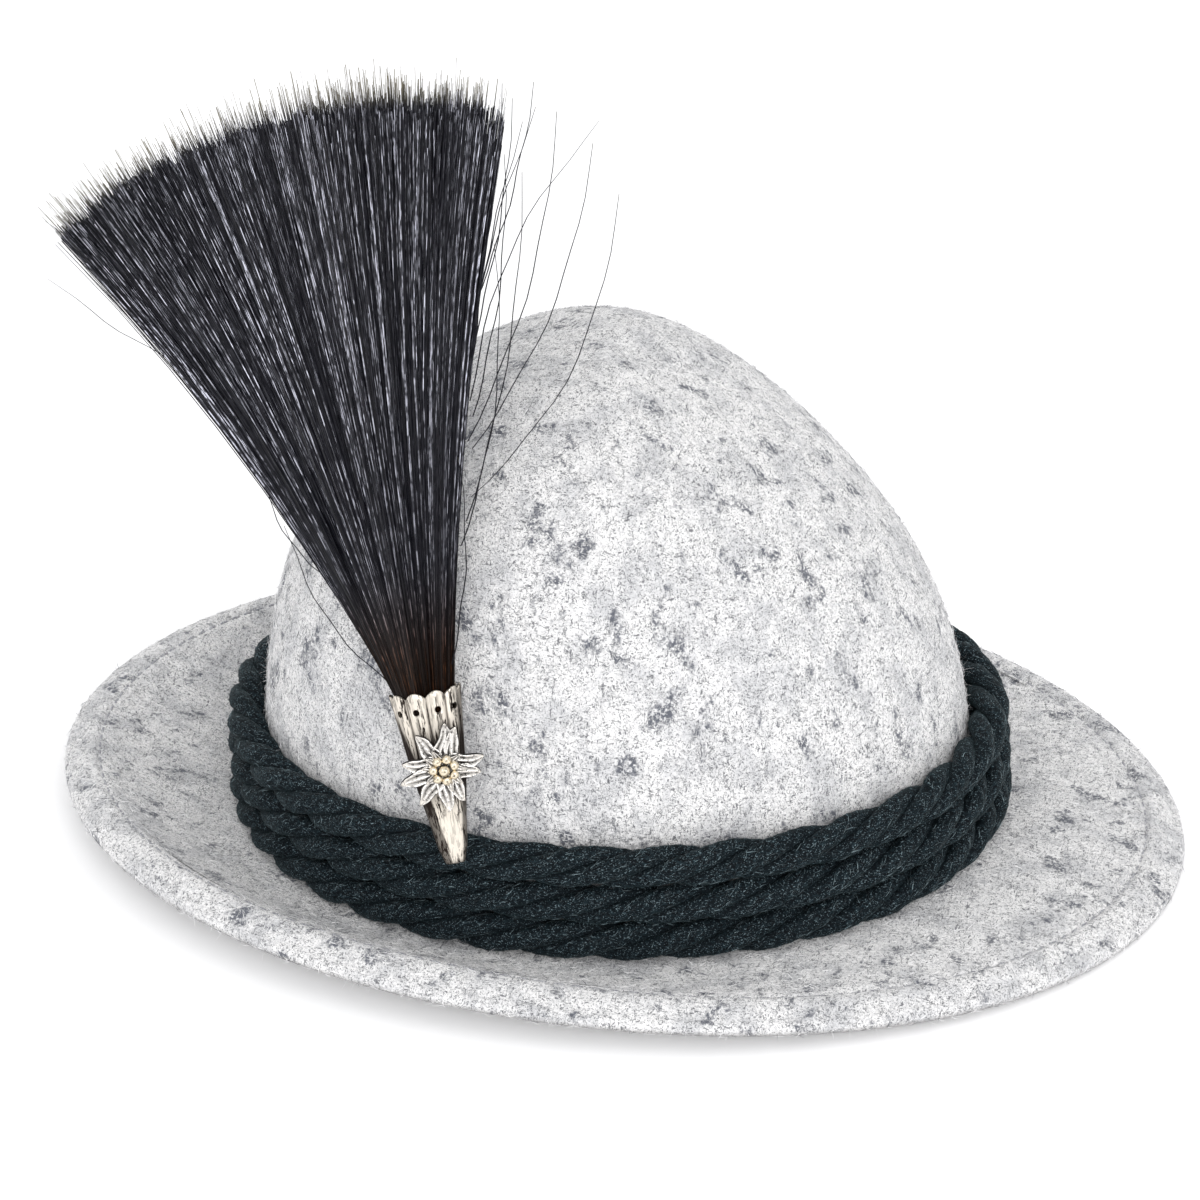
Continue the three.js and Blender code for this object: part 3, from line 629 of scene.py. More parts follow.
def strand_tube(row, strand):
    around = circle(STEPS)
    middle, out = cord_path(row, around)
    twist = TWISTS * around + strand * 2 * np.pi / 3 + row * 0.9
    wobble = (1 + 0.05 * np.sin(around * 17 + strand * 2 + row)
              + 0.04 * np.sin(around * 41 + strand * 5 + row * 3))
    up = np.array([0, 0, 1.0])
    offset = out * np.cos(twist)[:, None] + up * np.sin(twist)[:, None]
    centre = middle + offset * STRAND_OFFSET * wobble[:, None]
    along = unit(np.roll(centre, -1, 0) - np.roll(centre, 1, 0))
    first = unit(offset - along * (offset * along).sum(1)[:, None])
    second = np.cross(along, first)
    turns = circle(SIDES)
    ridge = np.cos(YARNS * (turns[None] + around[:, None] * YARN_TURNS) + strand)
    wide = STRAND_RADIUS * (1 + 0.05 * ridge) * (0.97 + 0.5 * (wobble[:, None] - 1))
    deep, high = np.cos(turns)[None, :, None], np.sin(turns)[None, :, None]
    section = first[:, None] * deep * FLATTER + second[:, None] * high
    rows = centre[:, None] + wide[..., None] * section
    # Painted shade and light: the side of a strand facing into the cord is darker, the yarn ridges
    # lighter.
    facing = np.clip((np.cos(turns) + 0.3) / 0.65, 0, 1)
    points, faces = ring_skin(rows, ringed=True)
    painted_light = np.clip(0.65 + 0.35 * ridge, 0, 1) * (0.25 + 0.75 * facing)
    return (points, faces), painted_light.reshape(-1)


cord_skins = []
for row, name in enumerate(("cord_lower", "cord_middle", "cord_upper")):
    tubes = [strand_tube(row, strand) for strand in range(3)]
    points, faces = join_parts([tube for tube, ridge in tubes])
    cord_skins.append((settle(points), faces))
    painted_valley_shades = np.concatenate([ridge for tube, ridge in tubes])
    make_piece(name + "_yarn", *cord_skins[-1], "cord", wool, [name], values={"yarn": painted_valley_shades})

# %% Loose wool on the cords
LINT_FIBRES, LINT_SHAPE = 50000, (2.6, 0.05, 0.25)
GLINT_SHARE, UNCOMBED, BAND_OVAL = 0.35, 0.28, (105, 88.5)
points, faces = join_parts(cord_skins)
crests = np.tile(np.cos((np.arange(SIDES) + 0.5) / SIDES * 2 * np.pi), len(faces) // SIDES)


def shown_side(middles):
    level = np.hypot(middles[:, 0] / BAND_OVAL[0], middles[:, 1] / BAND_OVAL[1])
    return (level > 0.99) & (crests > -0.05)


random = np.random.default_rng(21)
points, faces = lay_fibres(points, faces, shown_side, LINT_FIBRES, *LINT_SHAPE, random, UNCOMBED)
# The light fibres are painted glints; the rest keep the near black tone of the wool.
lint_tone_and_glint = np.where(random.random(LINT_FIBRES) < GLINT_SHARE,
                random.uniform(0.1, 1.0, LINT_FIBRES) ** 1.3,
                random.uniform(0.0, 0.06, LINT_FIBRES))
lint, tree, shader = new_material("loose teal wool", Roughness=0.6)
colour = mix_colour(tree, point_value(tree, "shade"),
                    (0.003, 0.006, 0.009, 1), (0.34, 0.46, 0.5, 1))
paint(tree, shader, colour)
make_piece("cord_lint", points, faces, "cord", lint, values={"shade": lint_tone_and_glint.repeat(5)})

# %% [markdown]
# The holder stands on the upper cord and leans on the crown. Everything
# on it is made upright in its own place, its front towards -Y, and one
# matrix then sets it on the hat.

# %% Place of the holder
HOLDER_LONG, HOLDER_WIDE, HOLDER_DEEP, HOLDER_WALL = 44.0, 17.8, 13.0, 0.8
HOLDER_AROUND, FOOT_HEIGHT, STANDOFF = math.radians(-98.6), 28.6, 13.0
LEAN_IN, LEAN_BACK, HOLDER_TURN = math.radians(16.8), math.radians(13.2), math.radians(30)
ASIDE = 1.0


def holder_frame():
    foot = crown_point(turn_at(FOOT_HEIGHT), np.array(HOLDER_AROUND), 0)
    c, n = math.cos(HOLDER_AROUND), math.sin(HOLDER_AROUND)
    outward = unit(np.array([FOOT[1] * c, FOOT[0] * n, 0]))
    foot = foot + outward * STANDOFF
    along = unit(np.array([-math.tan(LEAN_BACK), math.tan(LEAN_IN), 1.0]))
    inward = unit(-outward - along * (-outward @ along))
    across = np.cross(inward, along)
    return across, inward, along, foot + across * ASIDE


ACROSS, INWARD, ALONG, HOLDER_FOOT = holder_frame()


def set_on_hat(points, turned=True):
    points = np.asarray(points, float)
    x, y, z = np.moveaxis(points, -1, 0)
    if turned:
        x, y = rotate(x, y, HOLDER_TURN)
    placed = x[..., None] * ACROSS + y[..., None] * INWARD + z[..., None] * ALONG + HOLDER_FOOT
    return settle(placed)


print("foot of the holder at", settle(HOLDER_FOOT).round(1), "mm")

# %% [markdown]
# The silver is antique: bright and warm where it is rubbed, black in
# the engraved streaks that run down the cone like bark. The tarnish
# group drives colour, roughness and relief together, so they agree.

# %% Old silver
RUBBED, TARNISHED = (0.83, 0.765, 0.67, 1), (0.028, 0.021, 0.018, 1)
LEAN_TURN = (-0.29, -0.26, 0.0)
silver, tree, shader = new_material("antique silver", Metallic=1.0)
streaks = use_group(tree, tarnish, Grain=1700.0, Streak=(1.0, 1.0, 0.06),
                    Turn=LEAN_TURN, Low=0.5, High=0.57)
broad = use_group(tree, tarnish, Grain=420.0, Streak=(1.0, 1.0, 0.1),
                  Turn=LEAN_TURN, Low=0.42, High=0.62)
dark = times(tree, streaks.outputs["Mask"], 0.95)
dark = times(tree, dark, math_node(tree, "ADD", broad.outputs["Mask"], 0.35))
# The point value adds patina in the folds and painted shade on the cone's sides and round the
# flower.
dark = math_node(tree, "ADD", dark, point_value(tree, "patina_and_painted_shade"), clamp=True)
paint(tree, shader, mix_colour(tree, dark, RUBBED, TARNISHED))
tree.links.new(remap(tree, dark, 0.0, 1.0, 0.3, 0.6), shader.inputs["Roughness"])
relief = math_node(tree, "ADD", streaks.outputs["Relief"], broad.outputs["Relief"])
add_relief(tree, shader, relief, 0.5, 0.0005)
print("silver has", len(tree.nodes), "nodes")

# %% [markdown]
# The cone is rolled from sheet, with ten scallops at its mouth and a
# fold that runs down from each dip between them. Below each scallop is
# a small eyelet, cut right through with a boolean. A stud at the back
# goes through the felt, and its round head shows inside the crown.

# %% Holder
SCALLOPS, SCALLOP_TURN, SCALLOP_HIGH, CONE_SIDES = 10, math.radians(94), 1.8, 144
FLOWER_ALONG, FLOWER_ASIDE = 25.7, 1.5
SPREAD_AT = ([0, 0.1, 0.26, 0.5, 0.75, 1.0], [0.28, 0.43, 0.55, 0.75, 0.89, 1.0])
turns = -circle(CONE_SIDES)


def cone_row(along, inset, rise=0.0):
    spread = np.interp(along, *SPREAD_AT)
    arch = np.abs(np.sin(turns * SCALLOPS / 2 + SCALLOP_TURN))
    fold = np.exp(-((arch / 0.24) ** 2))
    fade = np.clip((along - 0.35) / 0.5, 0, 1)
    crease = 0.4 * fold * fade
    flare = 0.5 * max(0, along - 0.8) * 5 * arch
    grow = flare - crease - inset
    scallop = SCALLOP_HIGH * arch**0.75
    square = 0.55 + 0.45 * np.clip(along / 0.7, 0, 1)
    flat_cos = np.sign(np.cos(turns)) * np.abs(np.cos(turns)) ** square
    flat_sin = np.sign(np.sin(turns)) * np.abs(np.sin(turns)) ** square
    height = along * HOLDER_LONG + (scallop * np.clip((along - 0.8) / 0.2, 0, 1) ** 1.5 + rise)
    half_wide, half_deep = HOLDER_WIDE / 2 * spread + grow, HOLDER_DEEP / 2 * spread + grow
    return xyz(half_wide * flat_cos, half_deep * flat_sin, height)


def bar(radius, start, end, sides=24, round_off=0.0):
    angles = -circle(sides)
    small = radius - round_off
    rows = []
    stops = (start, small), (start + round_off, radius), (end - round_off, radius), (end, small)
    for y, size in stops:
        rows.append(xyz(size * np.cos(angles), y, -size * np.sin(angles)))
    return ring_skin(rows, np.array([[0, start, 0]]), np.array([[0, end, 0]]))


# Patina in the folds, painted shade on the left and right edges and round the flower.
def patina_and_side_shade(row):
    fold = np.exp(-((np.sin(turns * SCALLOPS / 2 + SCALLOP_TURN) / 0.15) ** 2))
    up = row[:, 2].mean() / HOLDER_LONG
    sideways = row[:, 0] / np.abs(row[:, 0]).max()
    # Painted shade: the left and right edges of the cone are darker.
    left_painted_shade = np.clip((-sideways - 0.22 - 0.75 * up) / 0.08, 0, 1)
    right = np.clip((sideways - 0.7 - 0.15 * up) / 0.06, 0, 1)
    # Painted shade: a soft dark halo round the flower on the cone.
    off = np.hypot(row[:, 0] - FLOWER_ASIDE, row[:, 2] - FLOWER_ALONG) / 10.5
    painted_shade_under_flower = np.where(row[:, 1] < 0, 0.8 * np.exp(-(off**4)), 0)
    creases = 0.85 * fold * np.clip((up - 0.35) / 0.3, 0, 1)
    return np.clip(creases + 0.78 * left_painted_shade + 0.6 * right + painted_shade_under_flower, 0, 1)


outer = [cone_row(a, 0.25 if a == 0 else 0) for a in (0.0, 0.006, *np.linspace(0.03, 1.0, 44))]
lip = [cone_row(1.0, inset, rise) for inset, rise in ((0.12, 0.18), (0.4, 0.26), (0.68, 0.18))]
inner = [cone_row(a, HOLDER_WALL) for a in np.linspace(1.0, 0.2, 16)]
ends = np.array([[[0, 0, 0.0]], [[0, 0, 0.2 * HOLDER_LONG]]])
cone = ring_skin(outer + lip + inner, *ends)
cone_patina_and_shade = np.concatenate([*(patina_and_side_shade(row) for row in outer), np.full(len(lip) * CONE_SIDES, 0.1),
                          np.full(len(inner) * CONE_SIDES, 0.8), [0, 0.8]])
holder_cone = make_piece("holder_cone", set_on_hat(cone[0]), cone[1], "holder_silver", silver,
                         ["holder"], values={"patina_and_painted_shade": cone_patina_and_shade})

# %% Eyelets
EYELET_BELOW, EYELET_RADIUS = 3.0, 0.85
parts = []
eyelet_row = cone_row(1 - EYELET_BELOW / HOLDER_LONG, 0)
for lobe in range(SCALLOPS):
    crest = ((lobe + 0.5) * math.pi + SCALLOP_TURN) / (SCALLOPS / 2)
    number = round(crest / (2 * math.pi) * CONE_SIDES) % CONE_SIDES
    x, y = eyelet_row[number, :2]
    away = math.atan2(y / HOLDER_DEEP**2, x / HOLDER_WIDE**2) - math.pi / 2
    points, faces = bar(EYELET_RADIUS, -2.0, 2.0, 20)
    turned_x, turned_y = rotate(points[:, 0], points[:, 1], away)
    raised = points[:, 2] + HOLDER_LONG - EYELET_BELOW
    parts.append((xyz(turned_x + x, turned_y + y, raised), faces))
points, faces = join_parts(parts)
cutter_mesh = bpy.data.meshes.new("eyelet cutter")
cutter_mesh.from_pydata((set_on_hat(points) * 0.001).tolist(), [], faces)
cutter = new_object("eyelet cutter", cutter_mesh)
cut = holder_cone.modifiers.new("eyelets", "BOOLEAN")
cut.operation = "DIFFERENCE"
cut.solver = "EXACT"
cut.object = cutter
bpy.context.view_layer.update()
depsgraph = bpy.context.evaluated_depsgraph_get()
whole = bpy.data.meshes.new_from_object(holder_cone.evaluated_get(depsgraph))
holder_cone.modifiers.clear()
holder_cone.data = whole
bpy.data.objects.remove(cutter)
print("cone after the eyelets:", len(whole.polygons), "faces")

# %% Stud
STUD_AT, SEAT = 33.0, 5.2
points, faces = join_parts([bar(1.0, SEAT, 16.0), bar(3.0, 15.2, 16.3, 32, 0.4)])
points[:, 2] += STUD_AT
make_piece("stud", set_on_hat(points, turned=False), faces, "holder_silver", silver,
           values={"patina_and_painted_shade": np.zeros(len(points))})

# %% [markdown]
# The edelweiss is a small casting. Its petals are long, pointed and
# furred, with a raised edge and a vein, and they curl a little. Each is
# a closed leaf whose grid is shaped by a few short formulas. A value on
# each point says how deep it lies, and the tarnish stays there.

# %% Silver of the flower
CAST, GILT, BLACKENED = (0.86, 0.83, 0.79, 1), (0.88, 0.75, 0.52, 1), (0.02, 0.016, 0.014, 1)
cast, tree, shader = new_material("cast silver", Metallic=1.0)
pits = use_group(tree, tarnish, Grain=1500.0, Streak=(1.0, 1.0, 1.0), Low=0.5, High=0.68)
dark = times(tree, pits.outputs["Mask"], 0.7)
dark = math_node(tree, "ADD", dark, point_value(tree, "patina_and_painted_shade"), clamp=True)
polish = mix_colour(tree, point_value(tree, "gold"), CAST, GILT)
paint(tree, shader, mix_colour(tree, dark, polish, BLACKENED))
tree.links.new(remap(tree, dark, 0.0, 1.0, 0.26, 0.6), shader.inputs["Roughness"])
add_relief(tree, shader, pits.outputs["Relief"], 0.4, 0.0003)
print("cast silver has", len(tree.nodes), "nodes")

# %% Edelweiss
FLOWER_GAP, FLOWER_BACK = 0.45, math.radians(6)
PETALS = ((22, 10.5), (58, 11.6), (90, 12.1), (120, 11.5), (157, 10.8),
          (193, 11.9), (229, 11.3), (260, 11.1), (300, 9.7), (340, 9.4))
INNER = (4, 41, 105, 139, 175, 211, 279, 320)
BEAD_RING = 2.8


def petal(length, width, lift, angle, bend, curl, wave=0.0):
    s = np.linspace(0.1, 1, 19)[:, None]
    t = np.linspace(-1, 1, 17)[None]
    outline = np.sin(np.pi * s**0.95) ** 0.8 + 0.15 * (1 - s) * (s < 0.5) + 0.04
    half_wide = width / 2 * outline * (1 + 0.14 * np.sin(13 * s + wave) * np.sign(t))
    x = s * length
    z = half_wide * t + bend * (s**2.2 - 0.35 * np.sin(2 * np.pi * s))
    rim = np.exp(-(((np.abs(t) - 0.84) / 0.16) ** 2))
    vein = np.exp(-((t / 0.13) ** 2))
    groove = np.exp(-(((np.abs(t) - 0.4) / 0.14) ** 2)) * (1 - s**4)
    belly = 0.3 * np.sin(np.pi * s) * (1 - 0.6 * t**2)
    top = lift + 1.0 + 0.25 * rim + 0.2 * vein - 0.4 * groove + curl * s**2 + belly
    low = np.minimum(lift + curl * s**2 * 0.9, top - 0.3)
    deep = np.clip(1.1 * groove, 0, 1) + 0.6 * (s < 0.3) + 1.0 * (np.abs(t) > 0.95)
    rows = np.concatenate([xyz(x, -top, z), xyz(x, -low, z)[:, ::-1]], 1)
    values = np.concatenate([deep, 0.95 + 0 * deep], 1)
    x, y, z = np.moveaxis(rows, -1, 0)
    x, z = rotate(x, z, math.radians(angle))
    turned = xyz(x, y, z)
    points, faces = ring_skin(turned, turned[0].mean(0)[None], turned[-1].mean(0)[None])
    faces = [face[::-1] for face in faces]
    return (points, faces), np.concatenate([values.reshape(-1), [0.6, 0.3]])


def bead(x, z, lift, size):
    rows, count = 12, 20
    tilt = np.linspace(0.12, np.pi - 0.12, rows)[:, None]
    around = circle(count)[None]
    dimple = 0.22 * np.exp(-((tilt / 0.35) ** 2))
    wide = size * (1 - dimple * 0.9)
    y = -(lift + wide * np.cos(tilt))
    out = size * np.sin(tilt)
    rings = xyz(x + out * np.cos(around), y, z + out * np.sin(around))
    deep = 0.6 * np.exp(-((tilt / 0.24) ** 2)) + 0.95 * np.clip((tilt - 1.15) / 0.5, 0, 1)
    deep = np.clip(deep, 0, 1) + 0 * around
    points, faces = ring_skin(rings, rings[0].mean(0)[None], rings[-1].mean(0)[None])
    return (points, faces), np.concatenate([deep.reshape(-1), [0.95, 0.9]])


flower = []
chance = np.random.default_rng(3)
for angle, length in PETALS:
    bend, curl = chance.uniform(-2.6, 2.6), chance.uniform(0.0, 1.0)
    flower.append((*petal(length, 4.1, 0.0, angle, bend, curl, angle), 0.0))
for angle in INNER:
    bend, curl = chance.uniform(-0.8, 0.8), chance.uniform(0.2, 0.7)
    flower.append((*petal(5.9, 2.2, 0.8, angle, bend, curl), 0.0))
for number in range(7):
    angle = number / 7 * 2 * np.pi + 0.3
    flower.append((*bead(BEAD_RING * math.cos(angle), BEAD_RING * math.sin(angle), 2.1, 1.3), 0.7))
flower.append((*bead(0.0, 0.0, 2.8, 1.45), 0.7))
for part in (bar(4.0, -1.7, 0.0, 40, 0.3), bar(0.8, -0.5, 2.0, 20)):
    flower.append((part, np.full(len(part[0]), 0.8), 0.0))
points, faces = join_parts([part for part, depth, gold in flower])
points[:, 1], points[:, 2] = rotate(points[:, 1], points[:, 2], FLOWER_BACK)
seat = HOLDER_DEEP / 2 * np.interp(FLOWER_ALONG / HOLDER_LONG, *SPREAD_AT)
points += np.array([FLOWER_ASIDE, -seat - FLOWER_GAP, FLOWER_ALONG])
make_piece("edelweiss_casting", set_on_hat(points), faces, "flower_silver", cast,
           ["edelweiss"], values={
    "patina_and_painted_shade": np.concatenate([depth for part, depth, gold in flower]),
    "gold": np.concatenate([gold + 0 * depth for part, depth, gold in flower])})

# %% [markdown]
# The brush is long animal hair, black with a blue cast, rust brown near
# the root, and each hair runs out into a fine pale tip. Hairs stand in a
# flat fan. Each is a flat ribbon of eight short faces, which renders
# fast and carries well into other programs. Two numbers on every point,
# its place along the hair and the hair's own shade, colour them all; on
# the bright hairs that shade is painted glints, dimmer in shaded tufts.

# %% Hair
HAIR_BLACK, HAIR_GLINT = (0.0018, 0.0018, 0.0048, 1), (0.86, 0.87, 1.0, 1)
ROOT_BROWN, ROOT_GLINT = (0.006, 0.003, 0.002, 1), (0.44, 0.18, 0.08, 1)
TIP_PALE = (0.5, 0.45, 0.32, 1)
GLINTS_ALONG = 32.0
hair, tree, shader = new_material("brush hair", Roughness=0.38, Specular_IOR_Level=0.16)
along, shade = point_value(tree, "along"), point_value(tree, "shade")
own = times(tree, shade, 531.0)
own = math_node(tree, "ADD", own, times(tree, along, GLINTS_ALONG))
sparkle = add_node(tree, "TexNoise", noise_dimensions="1D", inputs={
    "W": own, "Scale": 1.0, "Detail": 2.0})
# Painted glints: bright hairs light up in patches along their length, less near the root.
painted_light = times(tree, shade, remap(tree, sparkle.outputs["Fac"], 0.45, 0.6, to_low=0.1))
painted_light = times(tree, painted_light, remap(tree, along, 0.15, 0.6, to_low=0.3))
blue_black = mix_colour(tree, painted_light, HAIR_BLACK, HAIR_GLINT)
brown = mix_colour(tree, painted_light, ROOT_BROWN, ROOT_GLINT)
colour = mix_colour(tree, remap(tree, along, 0.06, 0.26, 1.0, 0.0, "SMOOTHSTEP"), blue_black, brown)
pale = remap(tree, along, 0.975, 1.02, 0.0, 0.35, "SMOOTHSTEP")
paint(tree, shader, mix_colour(tree, pale, colour, TIP_PALE))
print("hair has", len(tree.nodes), "nodes")

# %% [markdown]
# A hair starts inside the mouth, leaves it at the angle of its place in
# the fan and bends outwards a little. The fan reaches further back than
# forward. Lengths differ slightly, so the top edge is dense and then
# thins out over a few millimetres.

# %% Fan of hair
LEFT_LEAN, RIGHT_LEAN = 29.4, 16.9
STATIONS = np.array([0.0, 0.1, 0.21, 0.33, 0.45, 0.58, 0.71, 0.85, 1.0])
SUNK, FULL_LENGTH, WANDER, WAVE = 4.0, 158, 0.75, 0.55
BRIGHT_SHARE = 0.27
EDGE, LOCKS = 0.8, 0.8 + 0.21 * np.linspace(0, 1, 11) ** 1.1
TUFTS = np.linspace(-1.1, 1.1, 110)
MOUTH_HALF = np.array([HOLDER_WIDE, HOLDER_DEEP]) / 2 - HOLDER_WALL - 0.7


def mouth_spot(place, depth):
    c, n = math.cos(HOLDER_TURN), math.sin(HOLDER_TURN)
    a, b = MOUTH_HALF
    x = place * math.hypot(a * c, b * n)
    square = (n / a) ** 2 + (c / b) ** 2
    cross = x * c * n * (1 / a**2 - 1 / b**2)
    rest = (x * c / a) ** 2 + (x * n / b) ** 2 - 1
    half_chord = np.sqrt(np.maximum(cross**2 - square * rest, 0)) / square
    return x, -cross / square + depth * half_chord


def fan_lean(place):
    return np.radians(np.where(place < 0, place * LEFT_LEAN, place * RIGHT_LEAN))


def fan_depth(root_y, share):
    return root_y * (0.86 + 0.62 * share) - 0.8 * share


def hair_lines(place, depth, length, random):
    count = len(place)
    lean = fan_lean(place)
    root_x, root_y = mouth_spot(place, depth)
    root_x = root_x - np.tan(lean * 0.7) * SUNK
    stations = STATIONS[None] * length[:, None]
    steps = np.diff(stations, axis=1)
    middle = (STATIONS[1:] + STATIONS[:-1]) / 2
    angles = lean[:, None] * (0.7 + 0.58 * middle[None])
    start = np.zeros((count, 1))
    x = root_x[:, None] + np.concatenate([start, np.cumsum(np.sin(angles) * steps, 1)], 1)
    z = -SUNK + np.concatenate([start, np.cumsum(np.cos(angles) * steps, 1)], 1)
    y = fan_depth(root_y[:, None], STATIONS[None])
    waves = random.uniform(0.5, 2.2, (2, count, 1)) * STATIONS * 2 * np.pi
    waves = waves + random.uniform(0, 2 * np.pi, (2, count, 1))
    loose = random.normal(0, WANDER, (2, count, 1)) * STATIONS**1.2
    loose = loose + WAVE * np.sin(waves) * STATIONS
    loose *= np.where(place > EDGE, 0.25, 1.0)[:, None]
    return xyz(x + loose[0], y + loose[1], z + HOLDER_LONG)


def hair_mesh(lines, radius, tip_share, random):
    count, stations = lines.shape[:2]
    forward = unit(np.gradient(lines, axis=1))
    side = unit(np.cross(forward, [0, 1.0, 0]))
    other = np.cross(forward, side)
    spin = random.uniform(-1.1, 1.1, (count, 1, 1))
    taper = np.interp(STATIONS, [0, 0.6, 1], [1, 1, tip_share])[None, :, None]
    edge = radius[:, None, None] * taper * (side * np.cos(spin) + other * np.sin(spin))
    points = np.stack([lines - edge, lines + edge], 2).reshape(-1, 3)
    base = (np.arange(count)[:, None] * stations + np.arange(stations - 1)) * 2
    return points, (base[..., None] + np.array([0, 1, 3, 2])).reshape(-1, 4).tolist()


def place_hairs(count, random):
    place = random.uniform(-1.0, 1.0, count)
    place = np.where(place < -0.85, place - np.abs(random.normal(0, 0.012, count)), place)
    place = place + random.normal(0, 0.012, count)
    locks = LOCKS[random.integers(0, len(LOCKS), count)] + random.normal(0, 0.004, count)
    moved = random.random(count) < 0.55
    other = np.where(moved, random.uniform(-0.95, EDGE, count), locks)
    place = np.where(place > EDGE, other, place)
    return np.clip(place, -1.08, 1.06)


def hair_lengths(place, random):
    count = len(place)
    dense = 150.7 + np.where(place < 0, 1.5, -1.5) * place**2
    short = random.random(count) ** 4 * 12
    far = random.random(count)
    long = np.where(far < 0.15, random.uniform(0, 7.5, count), 0) + np.where(far < 0.03, 3.5, 0)
    length = dense + SUNK - short + long + random.normal(0, 0.8, count)
    return length + np.interp(place, TUFTS, random.uniform(-3.0, 2.0, len(TUFTS)))


def add_hair_piece(name, points, faces, shares, shades, stands_for=()):
    make_piece(name, set_on_hat(points, turned=False), faces, "hair", hair, stands_for,
               values={"along": shares, "shade": shades})


def add_hairs(name, count, seed, near, stands_for=()):
    random = np.random.default_rng(seed)
    place = place_hairs(count, random)
    depth = near + random.normal(0, 0.16, count) if near else random.uniform(-1, 1, count)
    length = hair_lengths(place, random)
    lines = hair_lines(place, np.clip(depth, -1.15, 1.15), length, random)
    bright = random.random(count) < BRIGHT_SHARE
    radius = np.where(bright, random.uniform(0.1, 0.17, count), random.uniform(0.1, 0.21, count))
    points, faces = hair_mesh(lines, radius, 0.5, random)
    shares = (STATIONS[None] * length[:, None] / FULL_LENGTH).reshape(-1).repeat(2)
    # Painted shade: bright hairs are dimmer in some tufts across the fan.
    painted_tuft_shade = np.interp(place, TUFTS, random.uniform(0.4, 1.0, len(TUFTS)))
    shine, dull = random.uniform(0.35, 1.4, count), random.uniform(0.0, 0.04, count)
    glint_and_tone = np.where(bright, shine * painted_tuft_shade, dull)
    add_hair_piece(name, points, faces, shares, np.repeat(glint_and_tone, 2 * len(STATIONS)), stands_for)


add_hairs("brush_front", 9000, 11, -0.95, ["hair_brush"])
add_hairs("brush_middle", 5000, 12, 0)
add_hairs("brush_back", 4500, 13, 0.95)

# %% [markdown]
# Between the outer hairs no daylight shows, because thousands more
# stand behind them. One dark inner body, a little smaller than the fan
# and ribbed by lobes, stands for those.

# %% Inner mass of the brush
CORE_SHARES = (0.0, 0.12, 0.3, 0.5, 0.7, 0.86, 0.93)
across_fan = np.linspace(-1, 1, 61)
rows = []
for share in CORE_SHARES:
    ring = []
    for side, order in ((-1, 1), (1, -1)):
        place = across_fan[::order] * 0.955
        place = np.where(place > 0, place * 0.82, place)
        lobes = 1 + 0.1 * np.sin(place * 60)
        thick = side * 0.62 * np.sqrt(np.clip(1 - (place / 0.96) ** 2, 0, 1)) ** 0.4 * lobes
        length = (151.5 - 4.5 * place**2) * share
        lean = fan_lean(place) * (0.7 + 0.29 * share)
        spot_x, spot_y = mouth_spot(place, thick)
        x = spot_x - np.tan(lean) * SUNK + np.sin(lean) * length
        z = HOLDER_LONG - SUNK + np.cos(lean) * length
        ring.append(xyz(x, fan_depth(spot_y, share), z))
    rows.append(np.concatenate(ring)[::-1])
points, faces = ring_skin(rows, rows[0].mean(0)[None], rows[-1].mean(0)[None])
shares = np.concatenate([np.repeat(CORE_SHARES, 2 * len(across_fan)), [0, 0.9]])
add_hair_piece("brush_core", points, faces, shares, np.full(len(points), 0.05))

# %% [markdown]
# Some hairs have sprung out of the fan, most of them at its front edge.
# They are long thin tubes on a bent line. Each row of the table says
# where a hair leaves the fan, where it ends and how far it bows, in
# millimetres from the mouth: across, up, across, up and the bow.

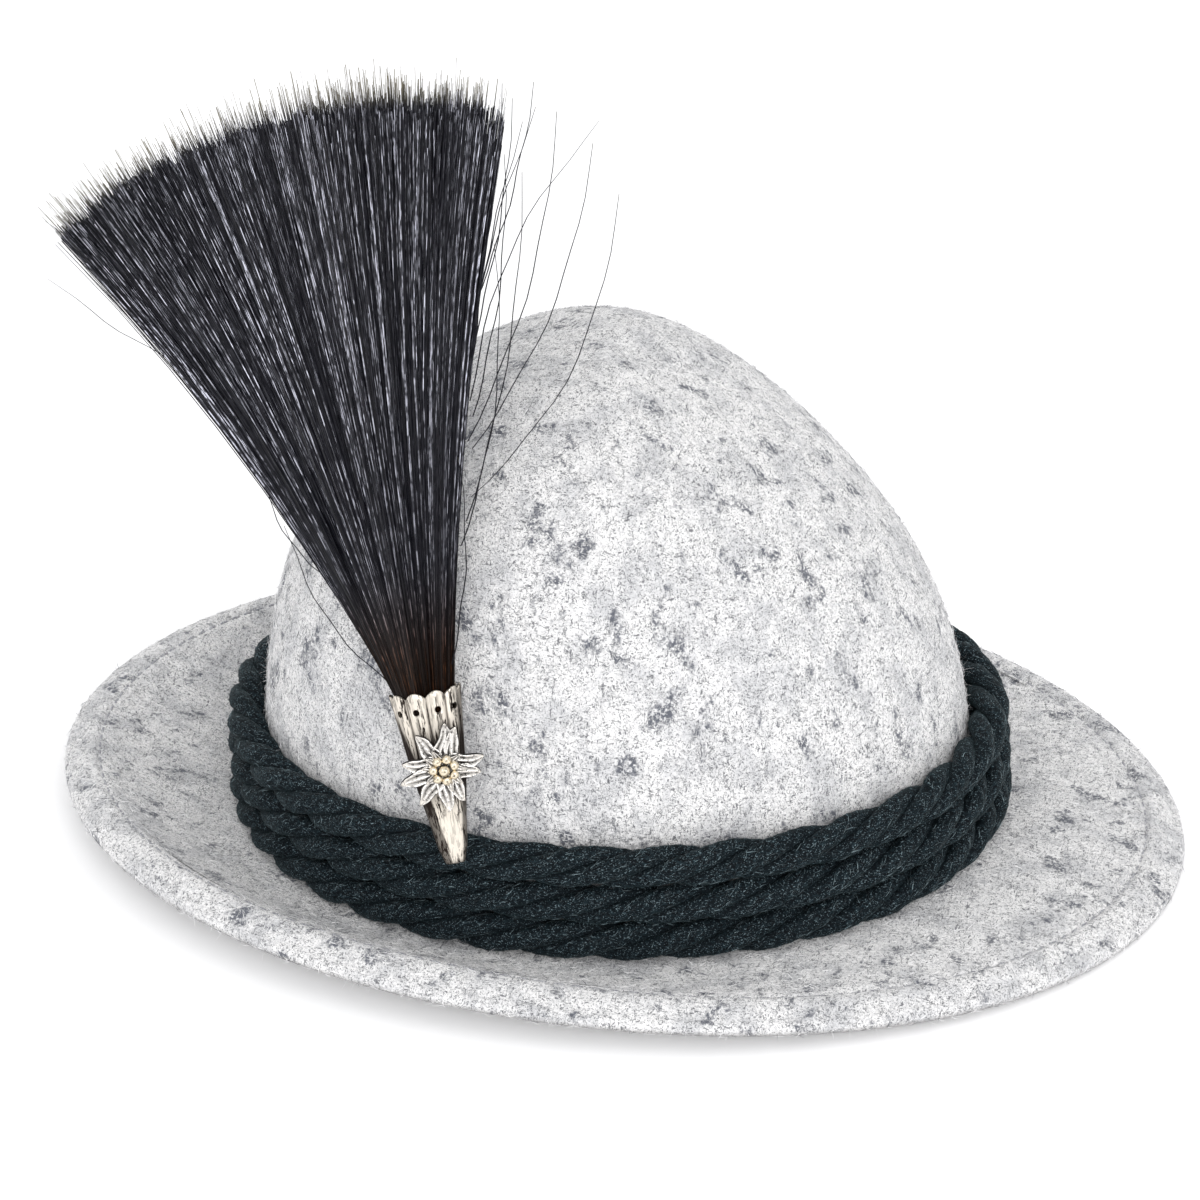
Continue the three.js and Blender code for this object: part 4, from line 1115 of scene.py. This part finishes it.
# %% Stray hairs
STRAYS = (
    (30, 64, 67, 141, 5), (33, 74, 78, 137, -7), (31, 62, 77, 132, 6), (28, 50, 83, 119, 9),
    (36, 86, 60, 146, 2), (34, 80, 64, 143, -3), (25, 44, 57, 128, 4), (38, 92, 58, 150, 1),
    (22, 38, 48, 112, 5), (36, 84, 56, 140, -2), (40, 98, 63, 149, 2), (33, 70, 54, 133, 3),
    (-40, 84, -89, 121, -3), (-9, 4, -34, 48, -5), (-18, 30, -38, 62, -5), (12, 8, 22, 60, 3),
    (-60, 110, -86, 136, -2),
)
STRAY_RADIUS = 0.21
random = np.random.default_rng(5)
t = np.linspace(0, 1, 14)
round_section = xyz(np.cos(circle(4)), np.sin(circle(4)), 0)[None]
parts = []
for start_x, start_z, end_x, end_z, bow in STRAYS:
    start = np.array([start_x * 0.9, -2.5, start_z + HOLDER_LONG])
    end = np.array([end_x, random.uniform(-9, 2), end_z + HOLDER_LONG])
    line = start + (end - start) * t[:, None]
    away = np.array([(end - start)[2], 0, -(end - start)[0]]) / np.linalg.norm(end - start)
    line += away * (bow * np.sin(np.pi * t) + 0.35 * np.sin(t * 17))[:, None]
    wide = STRAY_RADIUS * (1 - 0.6 * t**2)
    rows = line[:, None] + wide[:, None, None] * round_section
    parts.append(ring_skin(rows[::-1], line[-1:], line[:1]))
points, faces = join_parts(parts)
shares = np.tile(np.concatenate([np.repeat(0.4 + 0.6 * t[::-1], 4), [1, 0.4]]), len(STRAYS))
add_hair_piece("stray_hairs", points, faces, shares, np.full(len(points), 0.02))

# %% [markdown]
# A plain white floor and soft light from all round, strongest from
# above and in front, show felt best: its nap needs broad light, and the
# silver needs something pale and something dark to mirror.

# %% Floor and light
bpy.context.scene.view_settings.view_transform = "Standard"
FLOOR_HALF, FLOOR_Z = 6, -0.0003
floor_material, tree, shader = new_material(
    "floor", Base_Color=(0.94, 0.94, 0.95, 1), Roughness=0.9,
    Emission_Color=(1, 1, 1, 1), Emission_Strength=0.2)
floor_mesh = bpy.data.meshes.new("floor")
corners = [(x * FLOOR_HALF, y * FLOOR_HALF, FLOOR_Z)
           for x, y in ((-1, -1), (1, -1), (1, 1), (-1, 1))]
floor_mesh.from_pydata(corners, [], [(0, 1, 2, 3)])
floor_mesh.materials.append(floor_material)
floor = new_object("floor", floor_mesh)
world = bpy.data.worlds.new("studio")
bpy.context.scene.world = world
world.use_nodes = True
tree = world.node_tree
place = add_node(tree, "TexCoord")
parts = add_node(tree, "SeparateXYZ", inputs={"Vector": place.outputs["Generated"]})
climb = remap(tree, parts.outputs["Z"], 0.05, 0.9, kind="SMOOTHSTEP")
sky = mix_colour(tree, climb, (0.97, 0.975, 0.985, 1), (1.0, 1.0, 1.0, 1))
tree.links.new(sky, tree.nodes["Background"].inputs["Color"])
KEY_PLACE, KEY_TARGET = Vector((0.62, -1.36, 0.8)), Vector((0, 0, 0.06))
KEY_SIZE, KEY_POWER = 0.7, 8.5
lamp_data = bpy.data.lights.new("key", "AREA")
lamp_data.size, lamp_data.energy = KEY_SIZE, KEY_POWER
lamp = new_object("key", lamp_data)
lamp.location = KEY_PLACE
lamp.rotation_euler = (KEY_TARGET - KEY_PLACE).to_track_quat("-Z", "Y").to_euler()
